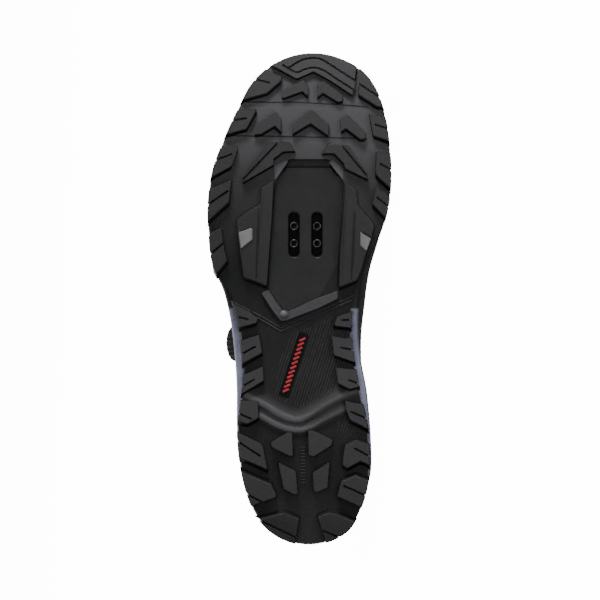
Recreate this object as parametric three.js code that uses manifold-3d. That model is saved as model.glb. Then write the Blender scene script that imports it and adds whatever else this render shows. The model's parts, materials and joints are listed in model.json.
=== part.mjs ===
// Trail cycling shoe for the right foot, lying on its medial side with the sole upright.
// It is modelled standing, in millimetres: x from heel to toe, y towards the medial side, z up from the ground.
// The last step turns the whole group onto the side that it rests on.
import * as THREE from "three";
import { ConvexHull } from "three/addons/math/ConvexHull.js";
import { mergeVertices } from "three/addons/utils/BufferGeometryUtils.js";
import Module from "manifold-3d";

const wasm = await Module();
wasm.setup();

// Driving sizes, millimetres
const LENGTH = 300;
const BALL_WIDTH = 112;
const INSTEP_HEIGHT = 93;
const TOE_SPRING = 14;
const HEEL_BEVEL = 7;
const ARCH_RISE = 3.2;
const HEEL_STACK = 28;
const GAP = 0.3;
const LUG_HEIGHT = 4.6;
const LUG_DRAFT = 0.9;
const LUG_PROUD = 1.5;
const EDGE_OVERSHOOT = 1.2;
const SKIN = 2.6;
const WAIST_INSET = 4.4;
const WAIST = { at: 0.4, half: 0.13 };
const PLATE_UNDERSIDE = 8;
const PLATE_THICKNESS = 3;
const RAIL_FACE = 1.2;
const RIDGE_HEIGHT = 1.4;
const LIP_FACE = 2;
const BOLT_SPACING = 14;
const BOLT_ROWS = 10.5;
const BOLT_STATION = 0.63;
const BOLT_LINE = 1.5;
const BARREL_RADIUS = 2.5;
const THREAD_RADIUS = 1.65;
const SLOT_WIDTH = 6.7;
const SLOT_LENGTH = 27.5;
const NUT_PLATE_THICKNESS = 2;
const NUT_PLATE_MARGIN = 5;
const NUT_CLEARANCE = 0.5;
const MIDSOLE_BULGE = 1.2;
const UPPER_WALL = 2;
const UPPER_INSET = 3;
const INSOLE_THICKNESS = 4;
const INSOLE_CLEARANCE = 1;
const OVERLAY = 1.4;
const TONGUE_THICKNESS = 4;
const TONGUE_LEAN = 0.5;
const TONGUE_ROOM = 14;
const TONGUE_ACROSS = [-1, -0.7, -0.35, 0, 0.35, 0.7, 1];
const TONGUE_TUCK = 0.97;
const RIM_ROOM = { low: 0.85, tongue: 1.02, collar: 1.006 };
const COLLAR_HEIGHT = 9;
const COLLAR_THICKNESS = 6;
const COLLAR_FRONT = 0.52;
const COLLAR_END = { slim: 0.55, ramp: 6 };
const DIAL_RADIUS = 11;
const DIAL_HEIGHT = 6.5;
const DIAL_BASE = 3.5;
const DIAL_RIM = 1.2;
const DIAL_GRIPS = 16;
const DIAL_AT = 0.56;
const DIAL_UP = 0.64;
const GUIDE_LENGTH = 13;
const GUIDE_WIDTH = 7;
const GUIDE_HEIGHT = 3.4;
const GUIDE_UP = 0.93;
const LACE_RADIUS = 0.6;
const LACE_SIDES = 8;
const LACE_SPREAD = 4;
const BALANCE = { along: 0.48, up: 0.33 };
const FLOOR_FLAT = 0.45;

const HALF_BALL = BALL_WIDTH / 2;
const LATERAL = -1;
const MEDIAL = 1;
const OUTLINE_STEPS = 30;
const RIB_STEPS = 22;
const RISE_STEPS = 9;
const TONGUE_STEPS = 14;
const COLLAR_STEPS = 28;
const COLLAR_SIDES = 10;
const EDGE_STEPS = 14;
const PROBE = 0.004;

// Outline of the sole seen from below: shares of the length, and reach to each side as shares of half the ball
const OUTLINE = [
  { at: 0, lateral: -0.06, medial: 0.06 },
  { at: 0.025, lateral: 0.34, medial: 0.465 },
  { at: 0.067, lateral: 0.53, medial: 0.615 },
  { at: 0.133, lateral: 0.655, medial: 0.715 },
  { at: 0.22, lateral: 0.72, medial: 0.72 },
  { at: 0.333, lateral: 0.73, medial: 0.667 },
  { at: 0.433, lateral: 0.775, medial: 0.606 },
  { at: 0.513, lateral: 0.862, medial: 0.627 },
  { at: 0.567, lateral: 0.985, medial: 0.69 },
  { at: 0.633, lateral: 1.028, medial: 0.85 },
  { at: 0.693, lateral: 1.035, medial: 0.937 },
  { at: 0.76, lateral: 0.985, medial: 0.96 },
  { at: 0.823, lateral: 0.862, medial: 0.937 },
  { at: 0.889, lateral: 0.7, medial: 0.873 },
  { at: 0.937, lateral: 0.562, medial: 0.76 },
  { at: 0.97, lateral: 0.382, medial: 0.6 },
  { at: 0.99, lateral: 0.18, medial: 0.393 },
  { at: 1, lateral: -0.107, medial: 0.107 },
];

// Side profile: shares of the length, with the ground face of the lugs as shares of bevel, arch rise and
// spring, and the top edge of the midsole as a share of the heel stack
const PROFILE = [
  { at: 0, bevel: 1, arch: 0, spring: 0, edge: 1.18 },
  { at: 0.05, bevel: 0.37, arch: 0, spring: 0, edge: 1.11 },
  { at: 0.12, bevel: 0.03, arch: 0, spring: 0, edge: 1.05 },
  { at: 0.2, bevel: 0, arch: 0, spring: 0, edge: 1.02 },
  { at: 0.3, bevel: 0, arch: 0.2, spring: 0, edge: 0.98 },
  { at: 0.4, bevel: 0, arch: 0.95, spring: 0, edge: 0.945 },
  { at: 0.5, bevel: 0, arch: 1, spring: 0, edge: 0.89 },
  { at: 0.6, bevel: 0, arch: 0.25, spring: 0, edge: 0.8 },
  { at: 0.68, bevel: 0, arch: 0, spring: 0, edge: 0.75 },
  { at: 0.76, bevel: 0, arch: 0, spring: 0.04, edge: 0.73 },
  { at: 0.84, bevel: 0, arch: 0, spring: 0.22, edge: 0.77 },
  { at: 0.92, bevel: 0, arch: 0, spring: 0.55, edge: 0.88 },
  { at: 1, bevel: 0, arch: 0, spring: 1, edge: 1.06 },
];

// Side of the midsole: share of its height and of its bulge
const MIDSOLE_SIDE = [
  { up: 0, bulge: 0 },
  { up: 0.3, bulge: 1 },
  { up: 0.5, bulge: 1 },
  { up: 0.56, bulge: 0 },
  { up: 0.9, bulge: 0 },
  { up: 1, bulge: -0.5 },
];

// Edge lugs from the toe back: stations where each lug meets the edge (out) and its inner corners (in),
// with the reach across of those corners
const FORE_LATERAL_LUGS = [
  { toeOut: 0.966, toeIn: 0.946, toeAcross: 0.218, heelIn: 0.9155, heelAcross: 0.393, heelOut: 0.901 },
  { toeOut: 0.881, toeIn: 0.885, toeAcross: 0.507, heelIn: 0.843, heelAcross: 0.611, heelOut: 0.831 },
  { toeOut: 0.8055, toeIn: 0.81, toeAcross: 0.709, heelIn: 0.769, heelAcross: 0.769, heelOut: 0.744 },
  { toeOut: 0.721, toeIn: 0.742, toeAcross: 0.764, heelIn: 0.7, heelAcross: 0.791, heelOut: 0.655 },
  { toeOut: 0.626, toeIn: 0.644, toeAcross: 0.895, heelIn: 0.577, heelAcross: 0.813, heelOut: 0.55 },
];
const FORE_MEDIAL_LUGS = [
  { toeOut: 0.968, toeIn: 0.962, toeAcross: 0.595, heelIn: 0.9135, heelAcross: 0.595, heelOut: 0.888 },
  { toeOut: 0.869, toeIn: 0.875, toeAcross: 0.709, heelIn: 0.83, heelAcross: 0.753, heelOut: 0.818 },
  { toeOut: 0.793, toeIn: 0.798, toeAcross: 0.785, heelIn: 0.7515, heelAcross: 0.785, heelOut: 0.721 },
  { toeOut: 0.71, toeIn: 0.727, toeAcross: 0.791, heelIn: 0.6915, heelAcross: 0.753, heelOut: 0.663 },
];
const REAR_LATERAL_LUGS = [
  { toeOut: 0.494, toeIn: 0.4695, toeAcross: 0.524, heelIn: 0.451, heelAcross: 0.496, heelOut: 0.439 },
  { toeOut: 0.4135, toeIn: 0.43, toeAcross: 0.469, heelIn: 0.391, heelAcross: 0.436, heelOut: 0.3636 },
  { toeOut: 0.341, toeIn: 0.3636, toeAcross: 0.436, heelIn: 0.335, heelAcross: 0.4255, heelOut: 0.3035 },
  { toeOut: 0.2923, toeIn: 0.2943, toeAcross: 0.48, heelIn: 0.2597, heelAcross: 0.4746, heelOut: 0.2495 },
  { toeOut: 0.2332, toeIn: 0.2067, toeAcross: 0.436, heelIn: 0.1538, heelAcross: 0.3764, heelOut: 0.179 },
  { toeOut: 0.1528, toeIn: 0.1263, toeAcross: 0.338, heelIn: 0.1018, heelAcross: 0.2837, heelOut: 0.0804 },
  { toeOut: 0.055, toeIn: 0.0682, toeAcross: 0.1855, heelIn: 0.056, heelAcross: 0.0327, heelOut: -0.01 },
];
const REAR_MEDIAL_LUGS = [
  { toeOut: 0.4756, toeIn: 0.4654, toeAcross: 0.3655, heelIn: 0.449, heelAcross: 0.333, heelOut: 0.439 },
  { toeOut: 0.4206, toeIn: 0.4257, toeAcross: 0.311, heelIn: 0.387, heelAcross: 0.333, heelOut: 0.3676 },
  { toeOut: 0.3534, toeIn: 0.3615, toeAcross: 0.3546, heelIn: 0.33, heelAcross: 0.3764, heelOut: 0.3187 },
  { toeOut: 0.284, toeIn: 0.2963, toeAcross: 0.4473, heelIn: 0.2556, heelAcross: 0.502, heelOut: 0.2352 },
  { toeOut: 0.2077, toeIn: 0.2128, toeAcross: 0.502, heelIn: 0.16, heelAcross: 0.4473, heelOut: 0.163 },
  { toeOut: 0.1334, toeIn: 0.1385, toeAcross: 0.491, heelIn: 0.1008, heelAcross: 0.36, heelOut: 0.0774 },
  { toeOut: 0.0499, toeIn: 0.0682, toeAcross: 0.278, heelIn: 0.06, heelAcross: 0.1527, heelOut: -0.01 },
];

// Inner lugs and chevron arms: each has two ends across the sole, with its toe and heel stations at each end
const FORE_INNER_LUGS = [
  { from: -0.229, fromToe: 0.9216, fromHeel: 0.907, to: 0.04, toToe: 0.938, toHeel: 0.9155 },
  { from: 0.1746, fromToe: 0.934, fromHeel: 0.9125, to: 0.4255, toToe: 0.9135, toHeel: 0.9 },
  { from: -0.518, fromToe: 0.848, fromHeel: 0.833, to: -0.251, toToe: 0.8687, toHeel: 0.842 },
  { from: -0.1146, fromToe: 0.8544, fromHeel: 0.835, to: 0.085, toToe: 0.882, toHeel: 0.8565 },
  { from: 0.085, fromToe: 0.882, fromHeel: 0.8565, to: 0.273, toToe: 0.8524, toHeel: 0.832 },
  { from: 0.4146, fromToe: 0.8656, fromHeel: 0.841, to: 0.671, toToe: 0.836, toHeel: 0.824 },
];
const REAR_INNER_LUGS = [
  { from: -0.338, fromToe: 0.2108, fromHeel: 0.2016, to: -0.134, toToe: 0.229, toHeel: 0.1833 },
  { from: 0.07, fromToe: 0.2332, fromHeel: 0.1833, to: 0.3, toToe: 0.217, toHeel: 0.2047 },
  { from: -0.23, fromToe: 0.169, fromHeel: 0.117, to: -0.08, toToe: 0.1517, toHeel: 0.107 },
  { from: 0.12, fromToe: 0.1487, fromHeel: 0.111, to: 0.27, toToe: 0.17, toHeel: 0.119 },
];

// Wings in front of the pocket and the toe block: shares across, with toe and heel stations
const LATERAL_WING = [
  { across: -0.655, toe: 0.7444, heel: 0.734 },
  { across: -0.371, toe: 0.8178, heel: 0.765 },
  { across: -0.31, toe: 0.8178, heel: 0.779 },
  { across: -0.147, toe: 0.8178, heel: 0.7975 },
  { across: -0.087, toe: 0.8, heel: 0.797 },
];
const MEDIAL_WING = [
  { across: 0.207, toe: 0.796, heel: 0.7933 },
  { across: 0.267, toe: 0.8137, heel: 0.7933 },
  { across: 0.338, toe: 0.812, heel: 0.7933 },
  { across: 0.442, toe: 0.811, heel: 0.773 },
  { across: 0.491, toe: 0.8106, heel: 0.76 },
  { across: 0.704, toe: 0.7485, heel: 0.7403 },
];
const TOE_BLOCK = [
  { across: -0.327, toe: 1.02, heel: 0.9735 },
  { across: -0.071, toe: 1.02, heel: 0.944 },
  { across: 0.1146, toe: 1.02, heel: 0.959 },
  { across: 0.284, toe: 1.02, heel: 0.942 },
  { across: 0.5455, toe: 1.02, heel: 0.909 },
];
const HEEL_BREAST = [
  { across: -0.611, toe: 0.3045, heel: 0.284 },
  { across: -0.447, toe: 0.29, heel: 0.263 },
  { across: -0.251, toe: 0.268, heel: 0.2434 },
  { across: -0.0546, toe: 0.2566, heel: 0.2352 },
  { across: 0.0764, toe: 0.268, heel: 0.2413 },
  { across: 0.24, toe: 0.286, heel: 0.2576 },
  { across: 0.4364, toe: 0.3055, heel: 0.276 },
  { across: 0.567, toe: 0.3126, heel: 0.29 },
];

// Raised lip round the rear end of the pocket
const POCKET_LIP = [
  { across: -0.465, toe: 0.523, heel: 0.512 },
  { across: -0.38, toe: 0.53, heel: 0.489 },
  { across: -0.2, toe: 0.49, heel: 0.4572 },
  { across: 0.1855, toe: 0.51, heel: 0.4817 },
  { across: 0.39, toe: 0.53, heel: 0.499 },
];

// Pocket for the cleat and the two skid rails beside it: stations with shares across
const POCKET = [
  { at: 0.474, from: -0.2, to: -0.18 },
  { at: 0.518, from: -0.38, to: 0.3764 },
  { at: 0.6, from: -0.36, to: 0.393 },
  { at: 0.651, from: -0.34, to: 0.4146 },
  { at: 0.736, from: -0.305, to: 0.442 },
  { at: 0.783, from: -0.153, to: 0.284 },
];
const LATERAL_RAIL = [
  { at: 0.5245, from: -0.43, to: -0.393 },
  { at: 0.543, from: -0.649, to: -0.376 },
  { at: 0.598, from: -0.693, to: -0.36 },
  { at: 0.6365, from: -0.72, to: -0.345 },
  { at: 0.661, from: -0.72, to: -0.335 },
  { at: 0.677, from: -0.589, to: -0.327 },
  { at: 0.6915, from: -0.469, to: -0.32 },
  { at: 0.73, from: -0.455, to: -0.308 },
];
const MEDIAL_RAIL = [
  { at: 0.5224, from: 0.387, to: 0.42 },
  { at: 0.5367, from: 0.3786, to: 0.589 },
  { at: 0.555, from: 0.382, to: 0.633 },
  { at: 0.5896, from: 0.393, to: 0.687 },
  { at: 0.622, from: 0.4037, to: 0.747 },
  { at: 0.6487, from: 0.4146, to: 0.78 },
  { at: 0.675, from: 0.421, to: 0.6655 },
  { at: 0.6895, from: 0.4255, to: 0.6 },
  { at: 0.73, from: 0.441, to: 0.583 },
];

// Rear edge of the forefoot rubber, a shallow V: shares across with its station
const REAR_EDGE = [
  { across: -1.2, at: 0.545 },
  { across: -0.84, at: 0.502 },
  { across: -0.24, at: 0.443 },
  { across: 0.62, at: 0.514 },
  { across: 1.2, at: 0.55 },
];

// Ribs of the upper from the sole edge to the rim of collar and throat, from the toe (0) to the heel (1).
// Rim place as shares of length, half ball and instep height, then the rib's shape: rise and drop as shares of
// the instep height, outward swell as a share of half the ball, run as a share of the way to the rim.
const RIBS = [
  { at: 0, rimX: 0.665, rimY: 0, rimZ: 0.71, rise: 0.28, swell: 0.08, run: 0.62, drop: 0.065 },
  { at: 0.07, rimX: 0.664, rimY: 0.07, rimZ: 0.712, rise: 0.28, swell: 0.08, run: 0.62, drop: 0.065 },
  { at: 0.14, rimX: 0.66, rimY: 0.13, rimZ: 0.72, rise: 0.28, swell: 0.08, run: 0.61, drop: 0.07 },
  { at: 0.22, rimX: 0.645, rimY: 0.19, rimZ: 0.742, rise: 0.28, swell: 0.09, run: 0.58, drop: 0.08 },
  { at: 0.3, rimX: 0.61, rimY: 0.24, rimZ: 0.79, rise: 0.28, swell: 0.1, run: 0.54, drop: 0.097 },
  { at: 0.38, rimX: 0.56, rimY: 0.28, rimZ: 0.86, rise: 0.29, swell: 0.11, run: 0.5, drop: 0.118 },
  { at: 0.44, rimX: 0.515, rimY: 0.31, rimZ: 0.925, rise: 0.3, swell: 0.12, run: 0.48, drop: 0.14 },
  { at: 0.5, rimX: 0.465, rimY: 0.36, rimZ: 0.99, rise: 0.32, swell: 0.13, run: 0.45, drop: 0.16 },
  { at: 0.56, rimX: 0.41, rimY: 0.43, rimZ: 1, rise: 0.32, swell: 0.12, run: 0.42, drop: 0.17 },
  { at: 0.63, rimX: 0.335, rimY: 0.52, rimZ: 0.88, rise: 0.28, swell: 0.1, run: 0.4, drop: 0.16 },
  { at: 0.71, rimX: 0.24, rimY: 0.555, rimZ: 0.815, rise: 0.26, swell: 0.08, run: 0.35, drop: 0.15 },
  { at: 0.8, rimX: 0.145, rimY: 0.53, rimZ: 0.84, rise: 0.26, swell: 0.07, run: 0.3, drop: 0.15 },
  { at: 0.9, rimX: 0.06, rimY: 0.36, rimZ: 0.935, rise: 0.28, swell: 0.06, run: 0.25, drop: 0.19 },
  { at: 1, rimX: 0.028, rimY: 0, rimZ: 1, rise: 0.3, swell: 0.06, run: 0.2, drop: 0.21 },
];

// Further swell of the medial side at the waist, where the upper stands past the sole
const INSTEP_BULGE = [
  { at: 0.36, swell: 0 },
  { at: 0.42, swell: 0.12 },
  { at: 0.46, swell: 0.24 },
  { at: 0.5, swell: 0.25 },
  { at: 0.55, swell: 0.16 },
  { at: 0.62, swell: 0.04 },
  { at: 0.7, swell: 0 },
];

// Tongue along its centre line: station, height and edge drop as shares of the instep height, and half width
// as a share of half the ball
const TONGUE = [
  { at: 0.7, z: 0.655, half: 0.26, arch: 0.06 },
  { at: 0.66, z: 0.686, half: 0.32, arch: 0.085 },
  { at: 0.6, z: 0.79, half: 0.36, arch: 0.1 },
  { at: 0.56, z: 0.862, half: 0.39, arch: 0.1 },
  { at: 0.515, z: 0.928, half: 0.42, arch: 0.1 },
  { at: 0.465, z: 1, half: 0.45, arch: 0.105 },
  { at: 0.43, z: 1.075, half: 0.38, arch: 0.1 },
  { at: 0.405, z: 1.16, half: 0.34, arch: 0.09 },
  { at: 0.39, z: 1.22, half: 0.26, arch: 0.07 },
].toReversed();

// Free edges of the overlays seen from the side: shares of the length and of the instep height
const TOE_CAP = [
  { at: 0.79, height: 0.16 },
  { at: 0.83, height: 0.39 },
  { at: 0.88, height: 0.52 },
  { at: 0.94, height: 0.6 },
  { at: 1.05, height: 0.64 },
];
const HEEL_COUNTER = [
  { at: -0.05, height: 0.86 },
  { at: 0.05, height: 0.84 },
  { at: 0.11, height: 0.74 },
  { at: 0.17, height: 0.55 },
  { at: 0.22, height: 0.44 },
  { at: 0.27, height: 0.16 },
];
const EYESTAY_REAR = [
  { at: 0.3, height: 0.1 },
  { at: 0.36, height: 0.85 },
  { at: 0.44, height: 1.3 },
  { at: 0.8, height: 1.3 },
];

// Lower edge of the eyestay as a share of each rib: it widens into the dial's panel on the lateral side
const EYESTAY = [
  { at: 0, lateral: 0.86, medial: 0.86 },
  { at: 0.3, lateral: 0.84, medial: 0.84 },
  { at: 0.4, lateral: 0.8, medial: 0.8 },
  { at: 0.46, lateral: 0.56, medial: 0.78 },
  { at: 0.52, lateral: 0.18, medial: 0.78 },
  { at: 0.58, lateral: 0.18, medial: 0.8 },
  { at: 0.65, lateral: 0.56, medial: 0.85 },
  { at: 1, lateral: 0.9, medial: 0.9 },
];

// Lace guides from the dial down to the toe: side and place along the rim
const GUIDES = [
  { side: MEDIAL, at: 0.46 },
  { side: LATERAL, at: 0.4 },
  { side: MEDIAL, at: 0.36 },
  { side: LATERAL, at: 0.29 },
  { side: MEDIAL, at: 0.24 },
];

// The lace's way from the dial to the rim: share of the rib, and shift towards the toe round the upper
const LACE_START = [
  { up: 0.88, ahead: 0.012 },
  { up: 0.95, ahead: 0.021 },
  { up: 1, ahead: 0.03 },
];

// Materials
const materials = {
  rubber: new THREE.MeshStandardMaterial({ color: 0x3a3a3c, roughness: 0.75, metalness: 0 }),
  nylon: new THREE.MeshStandardMaterial({ color: 0x2a2a2c, roughness: 0.5, metalness: 0 }),
  foam: new THREE.MeshStandardMaterial({ color: 0x6c6e80, roughness: 0.8, metalness: 0 }),
  steel: new THREE.MeshStandardMaterial({ color: 0x55585c, roughness: 0.4, metalness: 1 }),
  fabric: new THREE.MeshStandardMaterial({ color: 0x1d1d20, roughness: 0.85, metalness: 0 }),
  overlay: new THREE.MeshStandardMaterial({ color: 0x161618, roughness: 0.55, metalness: 0 }),
};

// Curves through the tables
function slopeAt(places, values, index, mirrored) {
  const last = places.length - 1;
  if (index > 0 && index < last) {
    return (values[index + 1] - values[index - 1]) / (places[index + 1] - places[index - 1]);
  }
  const near = index === 0 ? 1 : last - 1;
  return mirrored ? 0 : (values[near] - values[index]) / (places[near] - places[index]);
}

function curveThrough(rows, column, place = (row) => row.at, mirrored = false) {
  const places = rows.map(place);
  const values = rows.map((row) => row[column]);
  return (where) => {
    const inside = THREE.MathUtils.clamp(where, places[0], places[places.length - 1]);
    let index = 0;
    while (index < places.length - 2 && inside > places[index + 1]) index += 1;
    const span = places[index + 1] - places[index];
    const share = (inside - places[index]) / span;
    const start = slopeAt(places, values, index, mirrored) * span;
    const end = slopeAt(places, values, index + 1, mirrored) * span;
    const square = share * share;
    const cube = square * share;
    return values[index] * (2 * cube - 3 * square + 1) + start * (cube - 2 * square + share)
      + values[index + 1] * (3 * square - 2 * cube) + end * (cube - square);
  };
}

const turnOf = (share) => Math.acos(1 - 2 * THREE.MathUtils.clamp(share, 0, 1));
const stationOf = (turn) => (1 - Math.cos(turn)) / 2;
const outlineCurve = {
  [LATERAL]: curveThrough(OUTLINE, "lateral", (row) => turnOf(row.at)),
  [MEDIAL]: curveThrough(OUTLINE, "medial", (row) => turnOf(row.at)),
};
const bevelCurve = curveThrough(PROFILE, "bevel");
const archCurve = curveThrough(PROFILE, "arch");
const springCurve = curveThrough(PROFILE, "spring");
const edgeCurve = curveThrough(PROFILE, "edge");

const reachAt = (share, side) => outlineCurve[side](turnOf(share)) * HALF_BALL;
const treadAt = (x) => {
  const share = x / LENGTH;
  return bevelCurve(share) * HEEL_BEVEL + archCurve(share) * ARCH_RISE + springCurve(share) * TOE_SPRING;
};
const skinUnderAt = (x) => treadAt(x) + LUG_HEIGHT;
const skinTopAt = (x) => skinUnderAt(x) + SKIN;
const edgeAt = (x) => edgeCurve(x / LENGTH) * HEEL_STACK;
const waistAt = (share) => Math.exp(-(((share - WAIST.at) / WAIST.half) ** 4)) * WAIST_INSET;

// Solids
function closedGeometry(points, faces) {
  const geometry = new THREE.BufferGeometry();
  geometry.setAttribute("position", new THREE.Float32BufferAttribute(points.flat(), 3));
  geometry.setIndex(faces.flat());
  return volumeOf(geometry) < 0 ? closedGeometry(points, faces.map(([a, b, c]) => [a, c, b])) : geometry;
}

function volumeOf(geometry) {
  const place = geometry.getAttribute("position");
  const corners = [new THREE.Vector3(), new THREE.Vector3(), new THREE.Vector3()];
  let volume = 0;
  for (let face = 0; face < geometry.index.count; face += 3) {
    corners.forEach((corner, turn) => corner.fromBufferAttribute(place, geometry.index.getX(face + turn)));
    volume += corners[0].dot(corners[1].clone().cross(corners[2])) / 6;
  }
  return volume;
}

function solidOf(geometry) {
  const bare = geometry.clone();
  bare.deleteAttribute("normal");
  bare.deleteAttribute("uv");
  const merged = mergeVertices(bare, 1e-4);
  return new wasm.Manifold(new wasm.Mesh({
    numProp: 3,
    vertProperties: new Float32Array(merged.getAttribute("position").array),
    triVerts: new Uint32Array(merged.index.array),
  }));
}

function geometryOf(solid) {
  const mesh = solid.getMesh();
  const geometry = new THREE.BufferGeometry();
  geometry.setAttribute("position", new THREE.Float32BufferAttribute(mesh.vertProperties, 3));
  geometry.setIndex(Array.from(mesh.triVerts));
  return geometry;
}

const joined = (solids) => solids.reduce((whole, solid) => whole.add(solid));

// A slab inside the sole's outline: each level has an inset from the outline and a height for each station
function outlineSlab(levels, steps = OUTLINE_STEPS) {
  const points = [];
  const faces = [];
  const ring = 2 * steps;
  levels.forEach(({ inset, height }) => {
    for (let step = 0; step < ring; step += 1) {
      const side = step < steps ? LATERAL : MEDIAL;
      const turn = Math.PI * (side === LATERAL ? step : ring - step) / steps;
      const share = stationOf(turn);
      const taper = typeof inset === "function" ? inset(share) : inset;
      const x = LENGTH / 2 + (share - 0.5) * (LENGTH - 2 * taper);
      points.push([x, side * (reachAt(share, side) - taper * Math.sin(turn)), height(x)]);
    }
  });
  for (let level = 0; level < levels.length - 1; level += 1) {
    for (let step = 0; step < ring; step += 1) {
      const a = level * ring + step;
      const b = level * ring + (step + 1) % ring;
      faces.push([a, b, b + ring], [a, b + ring, a + ring]);
    }
  }
  const top = (levels.length - 1) * ring;
  for (let step = 0; step < steps; step += 1) {
    const a = step;
    const b = step + 1;
    const c = (ring - step - 1) % ring;
    const d = (ring - step) % ring;
    if (b !== c) faces.push([a, c, b], [top + a, top + b, top + c]);
    if (a !== d) faces.push([a, d, c], [top + a, top + c, top + d]);
  }
  return solidOf(closedGeometry(points, faces));
}

// A prism over a plan outline, with its own height at each corner and its ground face drawn in by a draft
function planPrism(corners, under, top, draft = 0) {
  const flat = corners.map(([x, y]) => new THREE.Vector2(x, y));
  if (THREE.ShapeUtils.isClockWise(flat)) flat.reverse();
  const count = flat.length;
  const inward = flat.map((corner, index) => {
    const before = corner.clone().sub(flat[(index + count - 1) % count]).normalize();
    const after = flat[(index + 1) % count].clone().sub(corner).normalize();
    const normal = new THREE.Vector2(-before.y - after.y, before.x + after.x).normalize();
    const half = Math.max(0.5, normal.dot(new THREE.Vector2(-before.y, before.x)));
    return corner.clone().addScaledVector(normal, draft / half);
  });
  const points = [
    ...inward.map((corner) => [corner.x, corner.y, under(corner.x)]),
    ...flat.map((corner) => [corner.x, corner.y, top(corner.x)]),
  ];
  const caps = THREE.ShapeUtils.triangulateShape(flat, []);
  const faces = caps.flatMap(([a, b, c]) => [[a, c, b], [count + a, count + b, count + c]]);
  flat.forEach((corner, index) => {
    const next = (index + 1) % count;
    faces.push([index, next, count + next], [index, count + next, count + index]);
  });
  return solidOf(closedGeometry(points, faces));
}

const planPoint = (share, across) => [share * LENGTH, across * HALF_BALL];
const acrossOutline = (rows) => [
  ...rows.map((row) => planPoint(row.toe, row.across)),
  ...rows.toReversed().map((row) => planPoint(row.heel, row.across)),
];
const alongOutline = (rows, clear = 0) => [
  ...rows.map((row) => [row.at * LENGTH, row.from * HALF_BALL + clear]),
  ...rows.toReversed().map((row) => [row.at * LENGTH, row.to * HALF_BALL - clear]),
];

// Sole
const lugTop = (x) => skinUnderAt(x) + SKIN / 2;

function lugEnvelope() {
  return outlineSlab([
    { inset: (share) => waistAt(share) + LUG_DRAFT, height: (x) => treadAt(x) - 1 },
    { inset: waistAt, height: skinTopAt },
  ]);
}

function edgeLug(row, side) {
  const outer = side * EDGE_OVERSHOOT;
  return planPrism([
    planPoint(row.toeOut, outer),
    planPoint(row.toeIn, side * row.toeAcross),
    planPoint(row.heelIn, side * row.heelAcross),
    planPoint(row.heelOut, outer),
  ], treadAt, lugTop, LUG_DRAFT);
}

function innerLug(row) {
  return planPrism([
    planPoint(row.fromToe, row.from),
    planPoint(row.toToe, row.to),
    planPoint(row.toHeel, row.to),
    planPoint(row.fromHeel, row.from),
  ], (x) => treadAt(x) + RAIL_FACE / 2, lugTop, LUG_DRAFT);
}

const edgeLugs = (lateral, medial) => joined([
  ...lateral.map((row) => edgeLug(row, LATERAL)),
  ...medial.map((row) => edgeLug(row, MEDIAL)),
]);
const acrossBlock = (rows, face) => planPrism(acrossOutline(rows), face, lugTop, LUG_DRAFT);
const pocketCut = (clear) => planPrism(alongOutline(POCKET, clear), () => -1, () => HEEL_STACK);

function rearRegion(shift) {
  const edge = REAR_EDGE.map((row) => [row.at * LENGTH + shift, row.across * HALF_BALL]);
  const heel = [[-LENGTH, BALL_WIDTH], [-LENGTH, -BALL_WIDTH]];
  return planPrism([...edge, ...heel], () => -HEEL_STACK, () => 2 * HEEL_STACK);
}

function rubberSkin() {
  const inset = (share) => waistAt(share) + LUG_PROUD;
  return outlineSlab([{ inset, height: skinUnderAt }, { inset, height: skinTopAt }]);
}

function outsoleForefoot() {
  const rails = [LATERAL_RAIL, MEDIAL_RAIL].map((rows) => (
    planPrism(alongOutline(rows), (x) => treadAt(x) + RAIL_FACE, lugTop, LUG_DRAFT)));
  const blocks = joined([
    acrossBlock(TOE_BLOCK, treadAt),
    acrossBlock(LATERAL_WING, (x) => treadAt(x) + RAIL_FACE / 2),
    acrossBlock(MEDIAL_WING, (x) => treadAt(x) + RAIL_FACE / 2),
    edgeLugs(FORE_LATERAL_LUGS, FORE_MEDIAL_LUGS),
  ]).intersect(lugEnvelope());
  const lip = acrossBlock(POCKET_LIP, (x) => treadAt(x) + LIP_FACE);
  return joined([rubberSkin(), blocks, lip, ...FORE_INNER_LUGS.map(innerLug), ...rails])
    .subtract(rearRegion(GAP))
    .subtract(pocketCut(0));
}

function outsoleRear() {
  const lugs = edgeLugs(REAR_LATERAL_LUGS, REAR_MEDIAL_LUGS).intersect(lugEnvelope());
  const breast = acrossBlock(HEEL_BREAST, (x) => skinUnderAt(x) - RIDGE_HEIGHT).intersect(lugEnvelope());
  return joined([rubberSkin(), lugs, breast, ...REAR_INNER_LUGS.map(innerLug)])
    .intersect(rearRegion(0))
    .subtract(pocketCut(0));
}

// Cleat plate with its two slots, and the threaded nut plate behind it
const boltX = BOLT_STATION * LENGTH;
const boltLines = [-1, 1].map((side) => BOLT_LINE + side * BOLT_SPACING / 2);
const plateTop = PLATE_UNDERSIDE + PLATE_THICKNESS;
const nutTop = plateTop + GAP + NUT_PLATE_THICKNESS;
const nutHalfLength = (BOLT_ROWS + 2 * BARREL_RADIUS) / 2 + NUT_PLATE_MARGIN;
const nutHalfWidth = BOLT_SPACING / 2 + BARREL_RADIUS + NUT_PLATE_MARGIN;

function slotOutline(y) {
  const shape = new THREE.Shape();
  const straight = (SLOT_LENGTH - SLOT_WIDTH) / 2;
  shape.absarc(boltX + straight, y, SLOT_WIDTH / 2, -Math.PI / 2, Math.PI / 2);
  shape.absarc(boltX - straight, y, SLOT_WIDTH / 2, Math.PI / 2, 3 * Math.PI / 2);
  return shape.getPoints(8).map((point) => [point.x, point.y]);
}

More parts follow.
